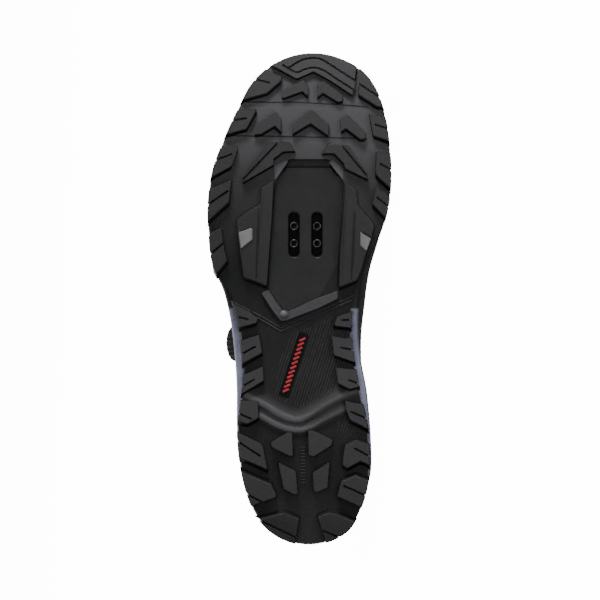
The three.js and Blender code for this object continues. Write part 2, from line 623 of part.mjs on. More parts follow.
const block = (center, size) => {
  const geometry = new THREE.BoxGeometry(...size);
  geometry.translate(...center);
  return solidOf(geometry);
};
const barrel = (x, y, radius, under, top) => {
  const geometry = new THREE.CylinderGeometry(radius, radius, top - under, 20);
  geometry.rotateX(Math.PI / 2);
  geometry.translate(x, y, (under + top) / 2);
  return solidOf(geometry);
};

function uniqueOutline(points) {
  return points.filter((point, index) => {
    const next = points[(index + 1) % points.length];
    return Math.hypot(point[0] - next[0], point[1] - next[1]) > 0.01;
  });
}

function cleatPlate() {
  const plate = planPrism(alongOutline(POCKET, GAP), () => PLATE_UNDERSIDE, () => plateTop);
  const slots = boltLines.map((y) => (
    planPrism(uniqueOutline(slotOutline(y)), () => 0, () => HEEL_STACK)));
  return plate.subtract(joined(slots));
}

function nutPlate() {
  const places = boltLines.flatMap((y) => [-1, 1].map((row) => [boltX + row * BOLT_ROWS / 2, y]));
  const plate = block(
    [boltX, BOLT_LINE, (plateTop + GAP + nutTop) / 2],
    [2 * nutHalfLength, 2 * nutHalfWidth, NUT_PLATE_THICKNESS],
  );
  const barrels = places.map(([x, y]) => barrel(x, y, BARREL_RADIUS, PLATE_UNDERSIDE + NUT_CLEARANCE, nutTop));
  const threads = places.map(([x, y]) => barrel(x, y, THREAD_RADIUS, 0, nutTop + 1));
  return joined([plate, ...barrels]).subtract(joined(threads));
}

function midsole() {
  const body = outlineSlab(MIDSOLE_SIDE.map((row) => ({
    inset: LUG_PROUD - row.bulge * MIDSOLE_BULGE,
    height: (x) => THREE.MathUtils.lerp(skinTopAt(x) + GAP, edgeAt(x), row.up),
  })));
  const plateRoom = planPrism(alongOutline(POCKET, -GAP), () => 0, () => plateTop + GAP);
  const nutRoom = block(
    [boltX, BOLT_LINE, nutTop / 2],
    [2 * (nutHalfLength + NUT_CLEARANCE), 2 * (nutHalfWidth + NUT_CLEARANCE), nutTop + 2 * GAP],
  );
  return body.subtract(plateRoom).subtract(nutRoom);
}

// The insole fills the upper's floor up to its wall
function insole() {
  const inset = LUG_PROUD + UPPER_INSET + UPPER_WALL + INSOLE_CLEARANCE;
  return outlineSlab([
    { inset, height: (x) => edgeAt(x) + GAP },
    { inset, height: (x) => edgeAt(x) + GAP + INSOLE_THICKNESS },
  ]).subtract(upperWall(-UPPER_WALL - GAP, 2 * INSOLE_THICKNESS));
}

// Upper: ribs from the sole edge to the rim, the same on both sides apart from the outline
const mirroredColumn = (column) => curveThrough(RIBS, column, (row) => row.at, true);
const rimXCurve = mirroredColumn("rimX");
const rimYCurve = curveThrough(RIBS, "rimY");
const rimZCurve = mirroredColumn("rimZ");
const riseCurve = mirroredColumn("rise");
const swellCurve = mirroredColumn("swell");
const runCurve = mirroredColumn("run");
const dropCurve = mirroredColumn("drop");
const bulgeCurve = curveThrough(INSTEP_BULGE, "swell", (row) => row.at, true);

function edgePoint(around) {
  const side = around < 0.5 ? LATERAL : MEDIAL;
  const turn = Math.PI * Math.abs(1 - 2 * around);
  const share = stationOf(turn);
  const taper = LUG_PROUD + UPPER_INSET;
  const x = LENGTH / 2 + (share - 0.5) * (LENGTH - 2 * taper);
  return new THREE.Vector3(x, side * (reachAt(share, side) - taper * Math.sin(turn)), edgeAt(x) + GAP);
}

function wrap(around) {
  return around - Math.floor(around);
}

function ribPoint(around, up) {
  const place = wrap(around);
  const side = place < 0.5 ? LATERAL : MEDIAL;
  const at = 1 - Math.abs(1 - 2 * place);
  const foot = edgePoint(place);
  const ahead = edgePoint(wrap(place + PROBE / 2));
  const behind = edgePoint(wrap(place - PROBE / 2));
  const outward = new THREE.Vector3(behind.y - ahead.y, ahead.x - behind.x, 0).normalize();
  const rim = new THREE.Vector3(
    rimXCurve(at) * LENGTH,
    side * rimYCurve(at) * HALF_BALL,
    rimZCurve(at) * INSTEP_HEIGHT,
  );
  const swell = swellCurve(at) + (side === MEDIAL ? bulgeCurve(at) : 0);
  const stand = foot.clone().addScaledVector(outward, swell * HALF_BALL);
  stand.z += riseCurve(at) * INSTEP_HEIGHT;
  const shoulder = rim.clone().lerp(foot, runCurve(at));
  shoulder.z = rim.z - dropCurve(at) * INSTEP_HEIGHT;
  return new THREE.CubicBezierCurve3(foot, stand, shoulder, rim).getPoint(up);
}

function upperPoint(around, up, offset = 0) {
  const point = ribPoint(around, up);
  if (offset === 0) return point;
  const near = Math.min(up, 0.99);
  const alongRim = ribPoint(around + PROBE, near).sub(ribPoint(around - PROBE, near));
  const alongRib = ribPoint(around, near + PROBE).sub(ribPoint(around, near));
  const normal = alongRib.cross(alongRim).normalize();
  if (up === 0) normal.setZ(0).normalize();
  return point.addScaledVector(normal, offset);
}

// A closed wall on the upper's own surface between two offsets, all round, from a lower share of each rib
function upperWall(inner, outer, lowAt = () => 0, high = 1) {
  const points = [];
  const faces = [];
  const ring = 2 * RIB_STEPS;
  const layer = ring * (RISE_STEPS + 1);
  [outer, inner].forEach((offset) => {
    for (let rise = 0; rise <= RISE_STEPS; rise += 1) {
      for (let rib = 0; rib < ring; rib += 1) {
        const around = rib / ring;
        const up = THREE.MathUtils.lerp(lowAt(around), high, rise / RISE_STEPS);
        points.push(upperPoint(around, up, offset).toArray());
      }
    }
  });
  const quad = (a, b, c, d) => faces.push([a, b, c], [a, c, d]);
  for (let rib = 0; rib < ring; rib += 1) {
    const next = (rib + 1) % ring;
    for (let rise = 0; rise < RISE_STEPS; rise += 1) {
      const low = rise * ring;
      const high = low + ring;
      quad(low + rib, high + rib, high + next, low + next);
      quad(layer + low + rib, layer + low + next, layer + high + next, layer + high + rib);
    }
    const top = RISE_STEPS * ring;
    quad(rib, next, layer + next, layer + rib);
    quad(top + rib, layer + top + rib, layer + top + next, top + next);
  }
  return solidOf(closedGeometry(points, faces));
}

const upper = () => upperWall(-UPPER_WALL, 0);

// A solid through rings of equal count, closed at both ends
function loftOf(rings) {
  const count = rings[0].length;
  const points = rings.flat().map((point) => point.toArray());
  const faces = [];
  for (let step = 0; step < rings.length - 1; step += 1) {
    for (let corner = 0; corner < count; corner += 1) {
      const a = step * count + corner;
      const b = step * count + (corner + 1) % count;
      faces.push([a, b, b + count], [a, b + count, a + count]);
    }
  }
  const last = (rings.length - 1) * count;
  for (let corner = 1; corner < count - 1; corner += 1) {
    faces.push([0, corner + 1, corner], [last, last + corner, last + corner + 1]);
  }
  return solidOf(closedGeometry(points, faces));
}

// Room round the upper's rim, up to a share of each rib that lies past the rim
const rimRoom = (high) => upperWall(-UPPER_WALL - GAP, UPPER_WALL, () => RIM_ROOM.low, high);

// Tongue: an arched blade under the throat
const tongueCurve = (column) => curveThrough(TONGUE, column);

function tongue() {
  const curves = { z: tongueCurve("z"), half: tongueCurve("half"), arch: tongueCurve("arch") };
  const rings = [];
  for (let step = 0; step <= TONGUE_STEPS; step += 1) {
    const share = THREE.MathUtils.lerp(TONGUE[0].at, TONGUE[TONGUE.length - 1].at, step / TONGUE_STEPS);
    const half = curves.half(share) * HALF_BALL;
    const blade = (turn, depth) => {
      const height = curves.z(share) * INSTEP_HEIGHT - curves.arch(share) * INSTEP_HEIGHT * turn * turn - depth;
      return new THREE.Vector3(share * LENGTH - depth * TONGUE_LEAN, turn * half, height);
    };
    rings.push([
      ...TONGUE_ACROSS.map((turn) => blade(turn, 0)),
      ...TONGUE_ACROSS.toReversed().map((turn) => blade(turn * TONGUE_TUCK, TONGUE_THICKNESS)),
    ]);
  }
  return loftOf(rings)
    .subtract(upperWall(-UPPER_WALL - GAP, TONGUE_ROOM))
    .subtract(rimRoom(RIM_ROOM.tongue))
    .subtract(collarRoll(2 * GAP));
}

// Collar: a padded roll on the rim, from one front corner of the collar round the heel to the other
function collarRoll(clear = 0) {
  const rings = [];
  for (let step = 0; step <= COLLAR_STEPS; step += 1) {
    const share = step / COLLAR_STEPS;
    const around = THREE.MathUtils.lerp(COLLAR_FRONT / 2, 1 - COLLAR_FRONT / 2, share);
    const full = Math.min(1, COLLAR_END.ramp * Math.min(share, 1 - share));
    const taper = THREE.MathUtils.lerp(COLLAR_END.slim, 1, full);
    const rim = upperPoint(around, 1);
    const outward = upperPoint(around, 1, 1).sub(rim).normalize();
    const rise = rim.clone().sub(upperPoint(around, 0.96)).normalize();
    const high = COLLAR_HEIGHT / 2 * taper;
    const thick = COLLAR_THICKNESS / 2 * taper + clear;
    const center = rim.clone().addScaledVector(outward, -UPPER_WALL / 2).addScaledVector(rise, high + GAP);
    rings.push(Array.from({ length: COLLAR_SIDES }, (unused, corner) => {
      const turn = 2 * Math.PI * corner / COLLAR_SIDES;
      return center.clone()
        .addScaledVector(rise, Math.sin(turn) * (high + clear))
        .addScaledVector(outward, Math.cos(turn) * thick);
    }));
  }
  return loftOf(rings);
}

const collar = () => collarRoll().subtract(rimRoom(RIM_ROOM.collar));

// Overlays: the upper's own surface, one layer out, kept inside a region
function underEdge(rows) {
  const edge = curveThrough(rows, "height");
  const first = rows[0].at;
  const last = rows[rows.length - 1].at;
  const outline = Array.from({ length: EDGE_STEPS + 1 }, (unused, step) => {
    const at = THREE.MathUtils.lerp(first, last, step / EDGE_STEPS);
    return new THREE.Vector2(at * LENGTH, edge(at) * INSTEP_HEIGHT);
  });
  const shape = new THREE.Shape([
    ...outline,
    new THREE.Vector2(last * LENGTH, 0),
    new THREE.Vector2(first * LENGTH, 0),
  ]);
  const geometry = new THREE.ExtrudeGeometry(shape, { depth: 2 * BALL_WIDTH, bevelEnabled: false });
  geometry.rotateX(Math.PI / 2);
  geometry.translate(0, BALL_WIDTH, 0);
  return solidOf(geometry);
}

const midsoleRoom = () => outlineSlab([
  { inset: -OVERLAY, height: treadAt },
  { inset: -OVERLAY, height: (x) => edgeAt(x) + GAP },
]);
const overlayLayer = () => upperWall(GAP, GAP + OVERLAY).subtract(midsoleRoom());
const toeCap = () => overlayLayer().intersect(underEdge(TOE_CAP));
const heelCounter = () => overlayLayer().intersect(underEdge(HEEL_COUNTER));

function eyestay() {
  const lateral = curveThrough(EYESTAY, "lateral");
  const medial = curveThrough(EYESTAY, "medial");
  const lowAt = (around) => {
    const at = 1 - Math.abs(1 - 2 * around);
    return around < 0.5 ? lateral(at) : medial(at);
  };
  return overlayLayer()
    .intersect(upperWall(-UPPER_WALL, 2 * UPPER_WALL, lowAt))
    .intersect(underEdge(EYESTAY_REAR));
}

// Lace dial on the lateral quarter
const seatOffset = GAP + OVERLAY + GAP;
const dialAxis = upperPoint(DIAL_AT / 2, DIAL_UP, 1).sub(upperPoint(DIAL_AT / 2, DIAL_UP)).normalize();
const dialSeat = upperPoint(DIAL_AT / 2, DIAL_UP, seatOffset);

function turned(profile, segments) {
  const geometry = new THREE.LatheGeometry(profile.map(([r, h]) => new THREE.Vector2(r, h)), segments);
  geometry.rotateX(Math.PI / 2);
  geometry.applyQuaternion(new THREE.Quaternion().setFromUnitVectors(new THREE.Vector3(0, 0, 1), dialAxis));
  geometry.translate(...dialSeat.toArray());
  return solidOf(geometry);
}

const underSeat = () => upperWall(-UPPER_WALL, seatOffset);

function dialBase() {
  const radius = DIAL_RADIUS + DIAL_RIM;
  return turned([
    [0, -seatOffset],
    [radius, -seatOffset],
    [radius, DIAL_BASE - DIAL_RIM],
    [radius - DIAL_RIM, DIAL_BASE],
    [0, DIAL_BASE],
  ], 32).subtract(underSeat()).subtract(laceTube(LACE_RADIUS + GAP));
}

function dialKnob() {
  const foot = DIAL_BASE + GAP;
  const top = foot + DIAL_HEIGHT;
  const body = turned([
    [0, foot],
    [DIAL_RADIUS, foot],
    [DIAL_RADIUS, top - DIAL_RIM],
    [DIAL_RADIUS - DIAL_RIM, top],
    [DIAL_RADIUS - 3 * DIAL_RIM, top - DIAL_RIM / 2],
    [0, top - DIAL_RIM / 2],
  ], 48);
  const grips = Array.from({ length: DIAL_GRIPS }, (unused, grip) => {
    const geometry = new THREE.CylinderGeometry(DIAL_RIM / 2, DIAL_RIM / 2, DIAL_HEIGHT * 2, 6);
    geometry.rotateX(Math.PI / 2);
    const turn = 2 * Math.PI * grip / DIAL_GRIPS;
    geometry.translate(DIAL_RADIUS * Math.cos(turn), DIAL_RADIUS * Math.sin(turn), top);
    geometry.applyQuaternion(new THREE.Quaternion().setFromUnitVectors(new THREE.Vector3(0, 0, 1), dialAxis));
    geometry.translate(...dialSeat.toArray());
    return solidOf(geometry);
  });
  return body.subtract(joined(grips));
}

// Lace guides beside the throat, and the lace that runs from the dial through them and ends in the last one
const laceOffset = seatOffset + GUIDE_HEIGHT / 2;
const laceLie = seatOffset + LACE_RADIUS + GAP;
const aroundOf = (guide) => (guide.side === LATERAL ? guide.at / 2 : 1 - guide.at / 2);

function guideBlock(guide) {
  const around = aroundOf(guide);
  const seat = upperPoint(around, GUIDE_UP);
  const outward = upperPoint(around, GUIDE_UP, 1).sub(seat).normalize();
  const along = upperPoint(around + PROBE, GUIDE_UP).sub(upperPoint(around - PROBE, GUIDE_UP));
  along.addScaledVector(outward, -along.dot(outward)).normalize();
  const inward = outward.clone().cross(along);
  const foot = seatOffset / 2;
  const depth = laceOffset + GUIDE_HEIGHT / 2 - foot;
  const geometry = new THREE.BoxGeometry(GUIDE_LENGTH, GUIDE_WIDTH, depth);
  geometry.translate(0, 0, foot + depth / 2);
  geometry.applyMatrix4(new THREE.Matrix4().makeBasis(along, inward, outward));
  geometry.translate(...seat.toArray());
  return solidOf(geometry).subtract(underSeat()).subtract(laceTube(LACE_RADIUS + GAP));
}

function laceRoute() {
  const rimward = upperPoint(DIAL_AT / 2, DIAL_UP + 0.1).sub(upperPoint(DIAL_AT / 2, DIAL_UP)).normalize();
  const outlet = dialSeat.clone().addScaledVector(rimward, DIAL_RADIUS - DIAL_RIM);
  const route = [
    outlet.addScaledVector(dialAxis, GUIDE_HEIGHT / 2),
    ...LACE_START.map((row) => upperPoint(DIAL_AT / 2 - row.ahead, row.up, laceLie)),
  ];
  GUIDES.forEach((guide, index) => {
    const nearby = aroundOf({ ...guide, at: guide.at + PROBE });
    const stretch = upperPoint(aroundOf(guide), 1).distanceTo(upperPoint(nearby, 1));
    const share = PROBE * LACE_SPREAD / stretch;
    const heelward = aroundOf({ ...guide, at: guide.at + share });
    const toeward = aroundOf({ ...guide, at: guide.at - share });
    route.push(upperPoint(heelward, 1, laceOffset), upperPoint(heelward, GUIDE_UP, laceOffset));
    const ends = index === GUIDES.length - 1;
    if (ends) route.push(upperPoint(aroundOf(guide), GUIDE_UP, laceOffset));
    else route.push(upperPoint(toeward, GUIDE_UP, laceOffset), upperPoint(toeward, 1, laceOffset));
  });
  return route;
}

function laceTube(radius) {
  const route = laceRoute();
  const rings = route.map((point, index) => {
    const before = point.clone().sub(route[Math.max(0, index - 1)]).normalize();
    const after = route[Math.min(route.length - 1, index + 1)].clone().sub(point).normalize();
    const ahead = before.add(after).normalize();
    const side = ahead.clone().cross(new THREE.Vector3(0, 0, 1)).normalize();
    const rise = side.clone().cross(ahead);
    return Array.from({ length: LACE_SIDES }, (unused, corner) => {
      const turn = 2 * Math.PI * corner / LACE_SIDES;
      return point.clone()
        .addScaledVector(side, radius * Math.cos(turn))
        .addScaledVector(rise, radius * Math.sin(turn));
    });
  });
  return loftOf(rings);
}

// Assembly, standing
const shoe = new THREE.Group();
function addPiece(name, solid, material) {
  const mesh = new THREE.Mesh(geometryOf(solid), material);
  mesh.name = name;
  shoe.add(mesh);
  return mesh;
}

addPiece("outsole_forefoot", outsoleForefoot(), materials.rubber);
addPiece("outsole_rear", outsoleRear(), materials.rubber);
addPiece("cleat_plate", cleatPlate(), materials.nylon);
addPiece("nut_plate", nutPlate(), materials.steel);
addPiece("midsole", midsole(), materials.foam);
addPiece("insole", insole(), materials.fabric);
addPiece("upper", upper(), materials.fabric);
addPiece("tongue", tongue(), materials.fabric);
addPiece("collar", collar(), materials.fabric);
addPiece("toe_cap", toeCap(), materials.overlay);
addPiece("heel_counter", heelCounter(), materials.overlay);
addPiece("eyestay", eyestay(), materials.overlay);
addPiece("dial_base", dialBase(), materials.nylon);
addPiece("dial_knob", dialKnob(), materials.nylon);
GUIDES.forEach((guide, index) => addPiece(`lace_guide_${index + 1}`, guideBlock(guide), materials.nylon));
addPiece("lace", laceTube(LACE_RADIUS), materials.steel);

// The face of the shoe's hull under its balance point, on the medial side, is the plane that it rests on
function restingPlane(meshes) {
  const hull = new ConvexHull();
  const place = new THREE.Vector3();
  const points = meshes.flatMap((mesh) => {
    const position = mesh.geometry.getAttribute("position");
    return Array.from({ length: position.count }, (unused, index) => (
      place.clone().fromBufferAttribute(position, index)));
  });
  hull.setFromPoints(points);
  const balance = new THREE.Vector3(BALANCE.along * LENGTH, 0, BALANCE.up * INSTEP_HEIGHT);
  const ray = new THREE.Ray(balance, new THREE.Vector3(0, MEDIAL, 0));
  const under = hull.faces.find((face) => {
    const corners = [face.edge.head(), face.edge.next.head(), face.edge.prev.head()].map((head) => head.point);
    return ray.intersectTriangle(...corners, false, place) !== null;
  });
  return new THREE.Plane(under.normal.clone(), -under.normal.dot(under.edge.head().point));
}

const floor = restingPlane(shoe.children);

// What touches the floor is pressed flat by a fraction of a millimetre
function flattened(mesh) {
  const slab = new THREE.BoxGeometry(2 * LENGTH, 2 * LENGTH, LENGTH);
  slab.applyQuaternion(new THREE.Quaternion().setFromUnitVectors(new THREE.Vector3(0, 0, 1), floor.normal));
  const face = floor.normal.clone().multiplyScalar(-floor.constant - FLOOR_FLAT + LENGTH / 2);
  slab.translate(...face.toArray());
  mesh.geometry = geometryOf(solidOf(mesh.geometry).subtract(solidOf(slab)));
}
shoe.children.forEach(flattened);

// Turned to lie on that plane: the sole faces minus y, the toe points along x, the lateral side is up
const down = floor.normal;
const ahead = new THREE.Vector3(1, 0, 0).addScaledVector(down, -down.x).normalize();
const above = down.clone().negate();
const lying = new THREE.Group();
lying.add(shoe);
shoe.matrixAutoUpdate = false;
shoe.matrix.makeBasis(ahead, above.clone().cross(ahead), above).transpose();
shoe.updateMatrixWorld(true);
const box = new THREE.Box3().setFromObject(shoe, true);
lying.position.set(-(box.min.x + box.max.x) / 2, -(box.min.y + box.max.y) / 2, -box.min.z);

export default lying;
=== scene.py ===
"""Looks of the trail cycling shoe: lugged rubber, foam, fabric, overlays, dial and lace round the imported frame."""

import json
import math

import bmesh
import bpy
import numpy as np
from mathutils import Matrix, Vector
from mathutils.geometry import delaunay_2d_cdt, tessellate_polygon


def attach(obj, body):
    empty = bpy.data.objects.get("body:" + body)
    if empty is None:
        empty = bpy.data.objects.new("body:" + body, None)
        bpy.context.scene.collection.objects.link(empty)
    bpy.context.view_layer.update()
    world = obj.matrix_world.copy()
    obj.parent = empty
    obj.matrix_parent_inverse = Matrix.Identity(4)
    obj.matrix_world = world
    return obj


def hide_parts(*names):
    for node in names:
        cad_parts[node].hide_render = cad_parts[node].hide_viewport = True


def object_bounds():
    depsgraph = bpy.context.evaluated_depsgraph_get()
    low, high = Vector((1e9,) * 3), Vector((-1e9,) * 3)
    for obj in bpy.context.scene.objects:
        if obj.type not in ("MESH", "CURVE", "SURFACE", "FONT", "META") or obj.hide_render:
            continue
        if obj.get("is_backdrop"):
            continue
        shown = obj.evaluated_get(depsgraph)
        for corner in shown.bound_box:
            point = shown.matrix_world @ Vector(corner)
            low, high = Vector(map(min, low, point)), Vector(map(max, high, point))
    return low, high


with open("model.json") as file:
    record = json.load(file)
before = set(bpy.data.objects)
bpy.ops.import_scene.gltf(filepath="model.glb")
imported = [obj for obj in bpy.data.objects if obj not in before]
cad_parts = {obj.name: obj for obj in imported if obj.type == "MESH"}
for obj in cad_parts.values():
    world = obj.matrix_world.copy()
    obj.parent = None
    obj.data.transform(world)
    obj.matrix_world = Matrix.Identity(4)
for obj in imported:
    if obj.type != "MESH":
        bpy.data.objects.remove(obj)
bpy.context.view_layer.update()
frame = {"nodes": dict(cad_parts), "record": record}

# Sizes in millimetres, as in the part's source; the shoe's own frame is x to the toe, y medial, z up
LENGTH = 300.0
HALF_BALL = 56.0
INSTEP = 93.0
TOE_SPRING = 14.0
HEEL_BEVEL = 7.0
ARCH_RISE = 3.2
HEEL_STACK = 28.0
GAP = 0.3
LUG_HEIGHT = 4.6
LUG_DRAFT = 0.9
LUG_PROUD = 1.5
SKIN = 2.6
WAIST_INSET = 4.4
WAIST_AT = 0.4
WAIST_HALF = 0.13
PLATE_UNDERSIDE = 8.0
PLATE_THICKNESS = 3.0
RAIL_FACE = 1.2
LIP_FACE = 2.0
BOLT_SPACING = 14.0
BOLT_ROWS = 10.5
BOLT_X = 0.63 * LENGTH
BOLT_Y = 1.5
BARREL_RADIUS = 2.5
THREAD_RADIUS = 1.65
NUT_PLATE_THICKNESS = 2.0
NUT_PLATE_MARGIN = 5.0
NUT_CLEARANCE = 0.5
MIDSOLE_BULGE = 1.2
UPPER_WALL = 2.0
UPPER_INSET = 3.0
INSOLE_THICKNESS = 4.0
INSOLE_CLEARANCE = 1.0
OVERLAY = 1.4
COLLAR_HEIGHT = 9.0
COLLAR_THICKNESS = 6.0
COLLAR_REST = 0.06
COLLAR_FRONT = 0.52
DIAL_RADIUS = 11.0
DIAL_HEIGHT = 6.5
DIAL_BASE = 3.5
DIAL_RIM = 1.2
DIAL_GRIPS = 16
DIAL_AT = 0.56
DIAL_UP = 0.64
GUIDE_HEIGHT = 3.4
GUIDE_UP = 0.93
LACE_RADIUS = 0.6
LACE_SPREAD = 4.0
PROBE = 0.004
LATERAL = -1
MEDIAL = 1

# The photo's frame on the sole: one pixel in millimetres, the heel end's row and the centre line's column
PIXEL = 0.611
HEEL_ROW = 544.5
CENTRE_COLUMN = 303.0
PHOTO_SIDE = 600

# The shoe's frame inside the row's frame comes from the cleat seat, the one mount of the record
seat = frame["record"]["mounts"][0]
up_axis = -Vector(seat["axis"])
ahead_axis = Vector((up_axis.z, 0, -up_axis.x)).normalized()
if ahead_axis.x < 0:
    ahead_axis.negate()
medial_axis = up_axis.cross(ahead_axis)
TURN = Matrix((ahead_axis, medial_axis, up_axis)).transposed()
SEAT_IN_SHOE = Vector((BOLT_X, BOLT_Y, PLATE_UNDERSIDE)) / 1000
SHIFT = Vector(seat["pos_m"]) - TURN @ SEAT_IN_SHOE
TURN_ARRAY = np.array(TURN)
SHIFT_ARRAY = np.array(SHIFT)


def to_row(points):
    """Points of the shoe's frame in millimetres, as points of the row's frame in metres."""
    return np.asarray(points, float) / 1000 @ TURN_ARRAY.T + SHIFT_ARRAY


def on_sole(points):
    """Points of the photo's frame, as x and y of the shoe's frame."""
    points = np.asarray(points, float)
    return np.column_stack([(HEEL_ROW - points[:, 1]) * PIXEL, (points[:, 0] - CENTRE_COLUMN) * PIXEL])


# Outline of the sole: share of the length, lateral and medial reach as shares of half the ball
OUTLINE = (
    (0, -0.06, 0.06), (0.025, 0.34, 0.465), (0.067, 0.53, 0.615), (0.133, 0.655, 0.715),
    (0.22, 0.72, 0.72), (0.333, 0.73, 0.667), (0.433, 0.775, 0.606), (0.513, 0.862, 0.627),
    (0.567, 0.985, 0.69), (0.633, 1.028, 0.85), (0.693, 1.035, 0.937), (0.76, 0.985, 0.96),
    (0.823, 0.862, 0.937), (0.889, 0.7, 0.873), (0.937, 0.562, 0.76), (0.97, 0.382, 0.6),
    (0.99, 0.18, 0.393), (1, -0.107, 0.107),
)
# Side profile: share of the length, bevel, arch, spring, and top edge of the midsole
PROFILE = (
    (0, 1, 0, 0, 1.18), (0.05, 0.37, 0, 0, 1.11), (0.12, 0.03, 0, 0, 1.05), (0.2, 0, 0, 0, 1.02),
    (0.3, 0, 0.2, 0, 0.98), (0.4, 0, 0.95, 0, 0.945), (0.5, 0, 1, 0, 0.89), (0.6, 0, 0.25, 0, 0.8),
    (0.68, 0, 0, 0, 0.75), (0.76, 0, 0, 0.04, 0.73), (0.84, 0, 0, 0.22, 0.77), (0.92, 0, 0, 0.55, 0.88),
    (1, 0, 0, 1, 1.06),
)
# Ribs of the upper: place round it, rim x, y and z, rise, swell, run, drop
RIBS = (
    (0, 0.665, 0, 0.71, 0.28, 0.08, 0.62, 0.065), (0.07, 0.664, 0.07, 0.712, 0.28, 0.08, 0.62, 0.065),
    (0.14, 0.66, 0.13, 0.72, 0.28, 0.08, 0.61, 0.07), (0.22, 0.645, 0.19, 0.742, 0.28, 0.09, 0.58, 0.08),
    (0.3, 0.61, 0.24, 0.79, 0.28, 0.1, 0.54, 0.097), (0.38, 0.56, 0.28, 0.86, 0.29, 0.11, 0.5, 0.118),
    (0.44, 0.515, 0.31, 0.925, 0.3, 0.12, 0.48, 0.14), (0.5, 0.465, 0.36, 0.99, 0.32, 0.13, 0.45, 0.16),
    (0.56, 0.41, 0.43, 1, 0.32, 0.12, 0.42, 0.17), (0.63, 0.335, 0.52, 0.88, 0.28, 0.1, 0.4, 0.16),
    (0.71, 0.24, 0.555, 0.815, 0.26, 0.08, 0.35, 0.15), (0.8, 0.145, 0.53, 0.84, 0.26, 0.07, 0.3, 0.15),
    (0.9, 0.06, 0.36, 0.935, 0.28, 0.06, 0.25, 0.19), (1, 0.028, 0, 1, 0.3, 0.06, 0.2, 0.21),
)
INSTEP_BULGE = ((0.36, 0), (0.42, 0.12), (0.46, 0.24), (0.5, 0.25), (0.55, 0.16), (0.62, 0.04), (0.7, 0))
# Pocket of the cleat plate: station, lateral and medial edge
POCKET = (
    (0.474, -0.2, -0.18), (0.518, -0.38, 0.3764), (0.6, -0.36, 0.393), (0.651, -0.34, 0.4146),
    (0.736, -0.305, 0.442), (0.783, -0.153, 0.284),
)
# Rear edge of the forefoot rubber: reach across, station
REAR_EDGE = ((-1.2, 0.545), (-0.84, 0.502), (-0.24, 0.443), (0.62, 0.514), (1.2, 0.55))
# Side of the midsole: share of its height, share of its bulge
MIDSOLE_SIDE = (
    (0, 0), (0.06, 0.45), (0.16, 0.85), (0.3, 1), (0.45, 1), (0.5, 0.9), (0.53, 0.35), (0.56, 0), (0.7, 0.03),
    (0.85, 0), (0.93, -0.1), (0.98, -0.28), (1, -0.5),
)
# Free edges of the overlays from the side: share of the length, share of the instep height
TOE_CAP = ((0.79, 0.16), (0.83, 0.39), (0.88, 0.52), (0.94, 0.6), (1.05, 0.64))
HEEL_COUNTER = ((-0.05, 0.86), (0.05, 0.84), (0.11, 0.74), (0.17, 0.55), (0.22, 0.44), (0.27, 0.16))
EYESTAY_REAR = ((0.3, 0.1), (0.36, 0.85), (0.44, 1.3), (0.8, 1.3))
# Lower edge of the eyestay: place round the upper, lateral and medial share of the rib
EYESTAY = (
    (0, 0.86, 0.86), (0.3, 0.84, 0.84), (0.4, 0.8, 0.8), (0.46, 0.56, 0.78), (0.52, 0.18, 0.78),
    (0.58, 0.18, 0.8), (0.65, 0.56, 0.85), (1, 0.9, 0.9),
)
GUIDES = ((MEDIAL, 0.46), (LATERAL, 0.4), (MEDIAL, 0.36), (LATERAL, 0.29), (MEDIAL, 0.24))
LACE_START = ((0.88, 0.012), (0.95, 0.021), (1, 0.03))


def curve_through(rows, column, place=lambda at: at, mirrored=False):
    """A smooth curve through one column of a table, as a function of arrays of stations."""
    places = np.array([place(row[0]) for row in rows], float)
    values = np.array([row[column] for row in rows], float)
    slopes = np.empty_like(values)
    slopes[1:-1] = (values[2:] - values[:-2]) / (places[2:] - places[:-2])
    slopes[0] = 0 if mirrored else (values[1] - values[0]) / (places[1] - places[0])
    slopes[-1] = 0 if mirrored else (values[-1] - values[-2]) / (places[-1] - places[-2])

    def curve(where):
        inside = np.clip(np.asarray(where, float), places[0], places[-1])
        index = np.clip(np.searchsorted(places, inside, side="left") - 1, 0, len(places) - 2)
        span = places[index + 1] - places[index]
        share = (inside - places[index]) / span
        square, cube = share ** 2, share ** 3
        return (values[index] * (2 * cube - 3 * square + 1) + slopes[index] * span * (cube - 2 * square + share)
                + values[index + 1] * (3 * square - 2 * cube) + slopes[index + 1] * span * (cube - square))

    return curve


def turn_of(share):
    return np.arccos(1 - 2 * np.clip(share, 0, 1))


def station_of(turn):
    return (1 - np.cos(turn)) / 2


lateral_reach = curve_through(OUTLINE, 1, turn_of)
medial_reach = curve_through(OUTLINE, 2, turn_of)
bevel_curve, arch_curve, spring_curve, edge_curve = (curve_through(PROFILE, column) for column in (1, 2, 3, 4))


def reach(share, side):
    return np.where(side == LATERAL, lateral_reach(turn_of(share)), medial_reach(turn_of(share))) * HALF_BALL


def raised(height, amount):
    """A height over the plan, moved by an amount; it takes x alone, or x and y."""
    return lambda x, y=None: height(x) + amount


def level(height):
    """The same height all over the plan."""
    return lambda x, y=None: 0 * x + height


def tread(x):
    share = np.asarray(x) / LENGTH
    return bevel_curve(share) * HEEL_BEVEL + arch_curve(share) * ARCH_RISE + spring_curve(share) * TOE_SPRING


skin_under = raised(tread, LUG_HEIGHT)
skin_top = raised(tread, LUG_HEIGHT + SKIN)


def edge_height(x):
    return edge_curve(np.asarray(x) / LENGTH) * HEEL_STACK


def waist(share):
    return np.exp(-(((np.asarray(share) - WAIST_AT) / WAIST_HALF) ** 4)) * WAIST_INSET


def smooth_step(value, low, high):
    share = np.clip((np.asarray(value, float) - low) / (high - low), 0, 1)
    return share * share * (3 - 2 * share)


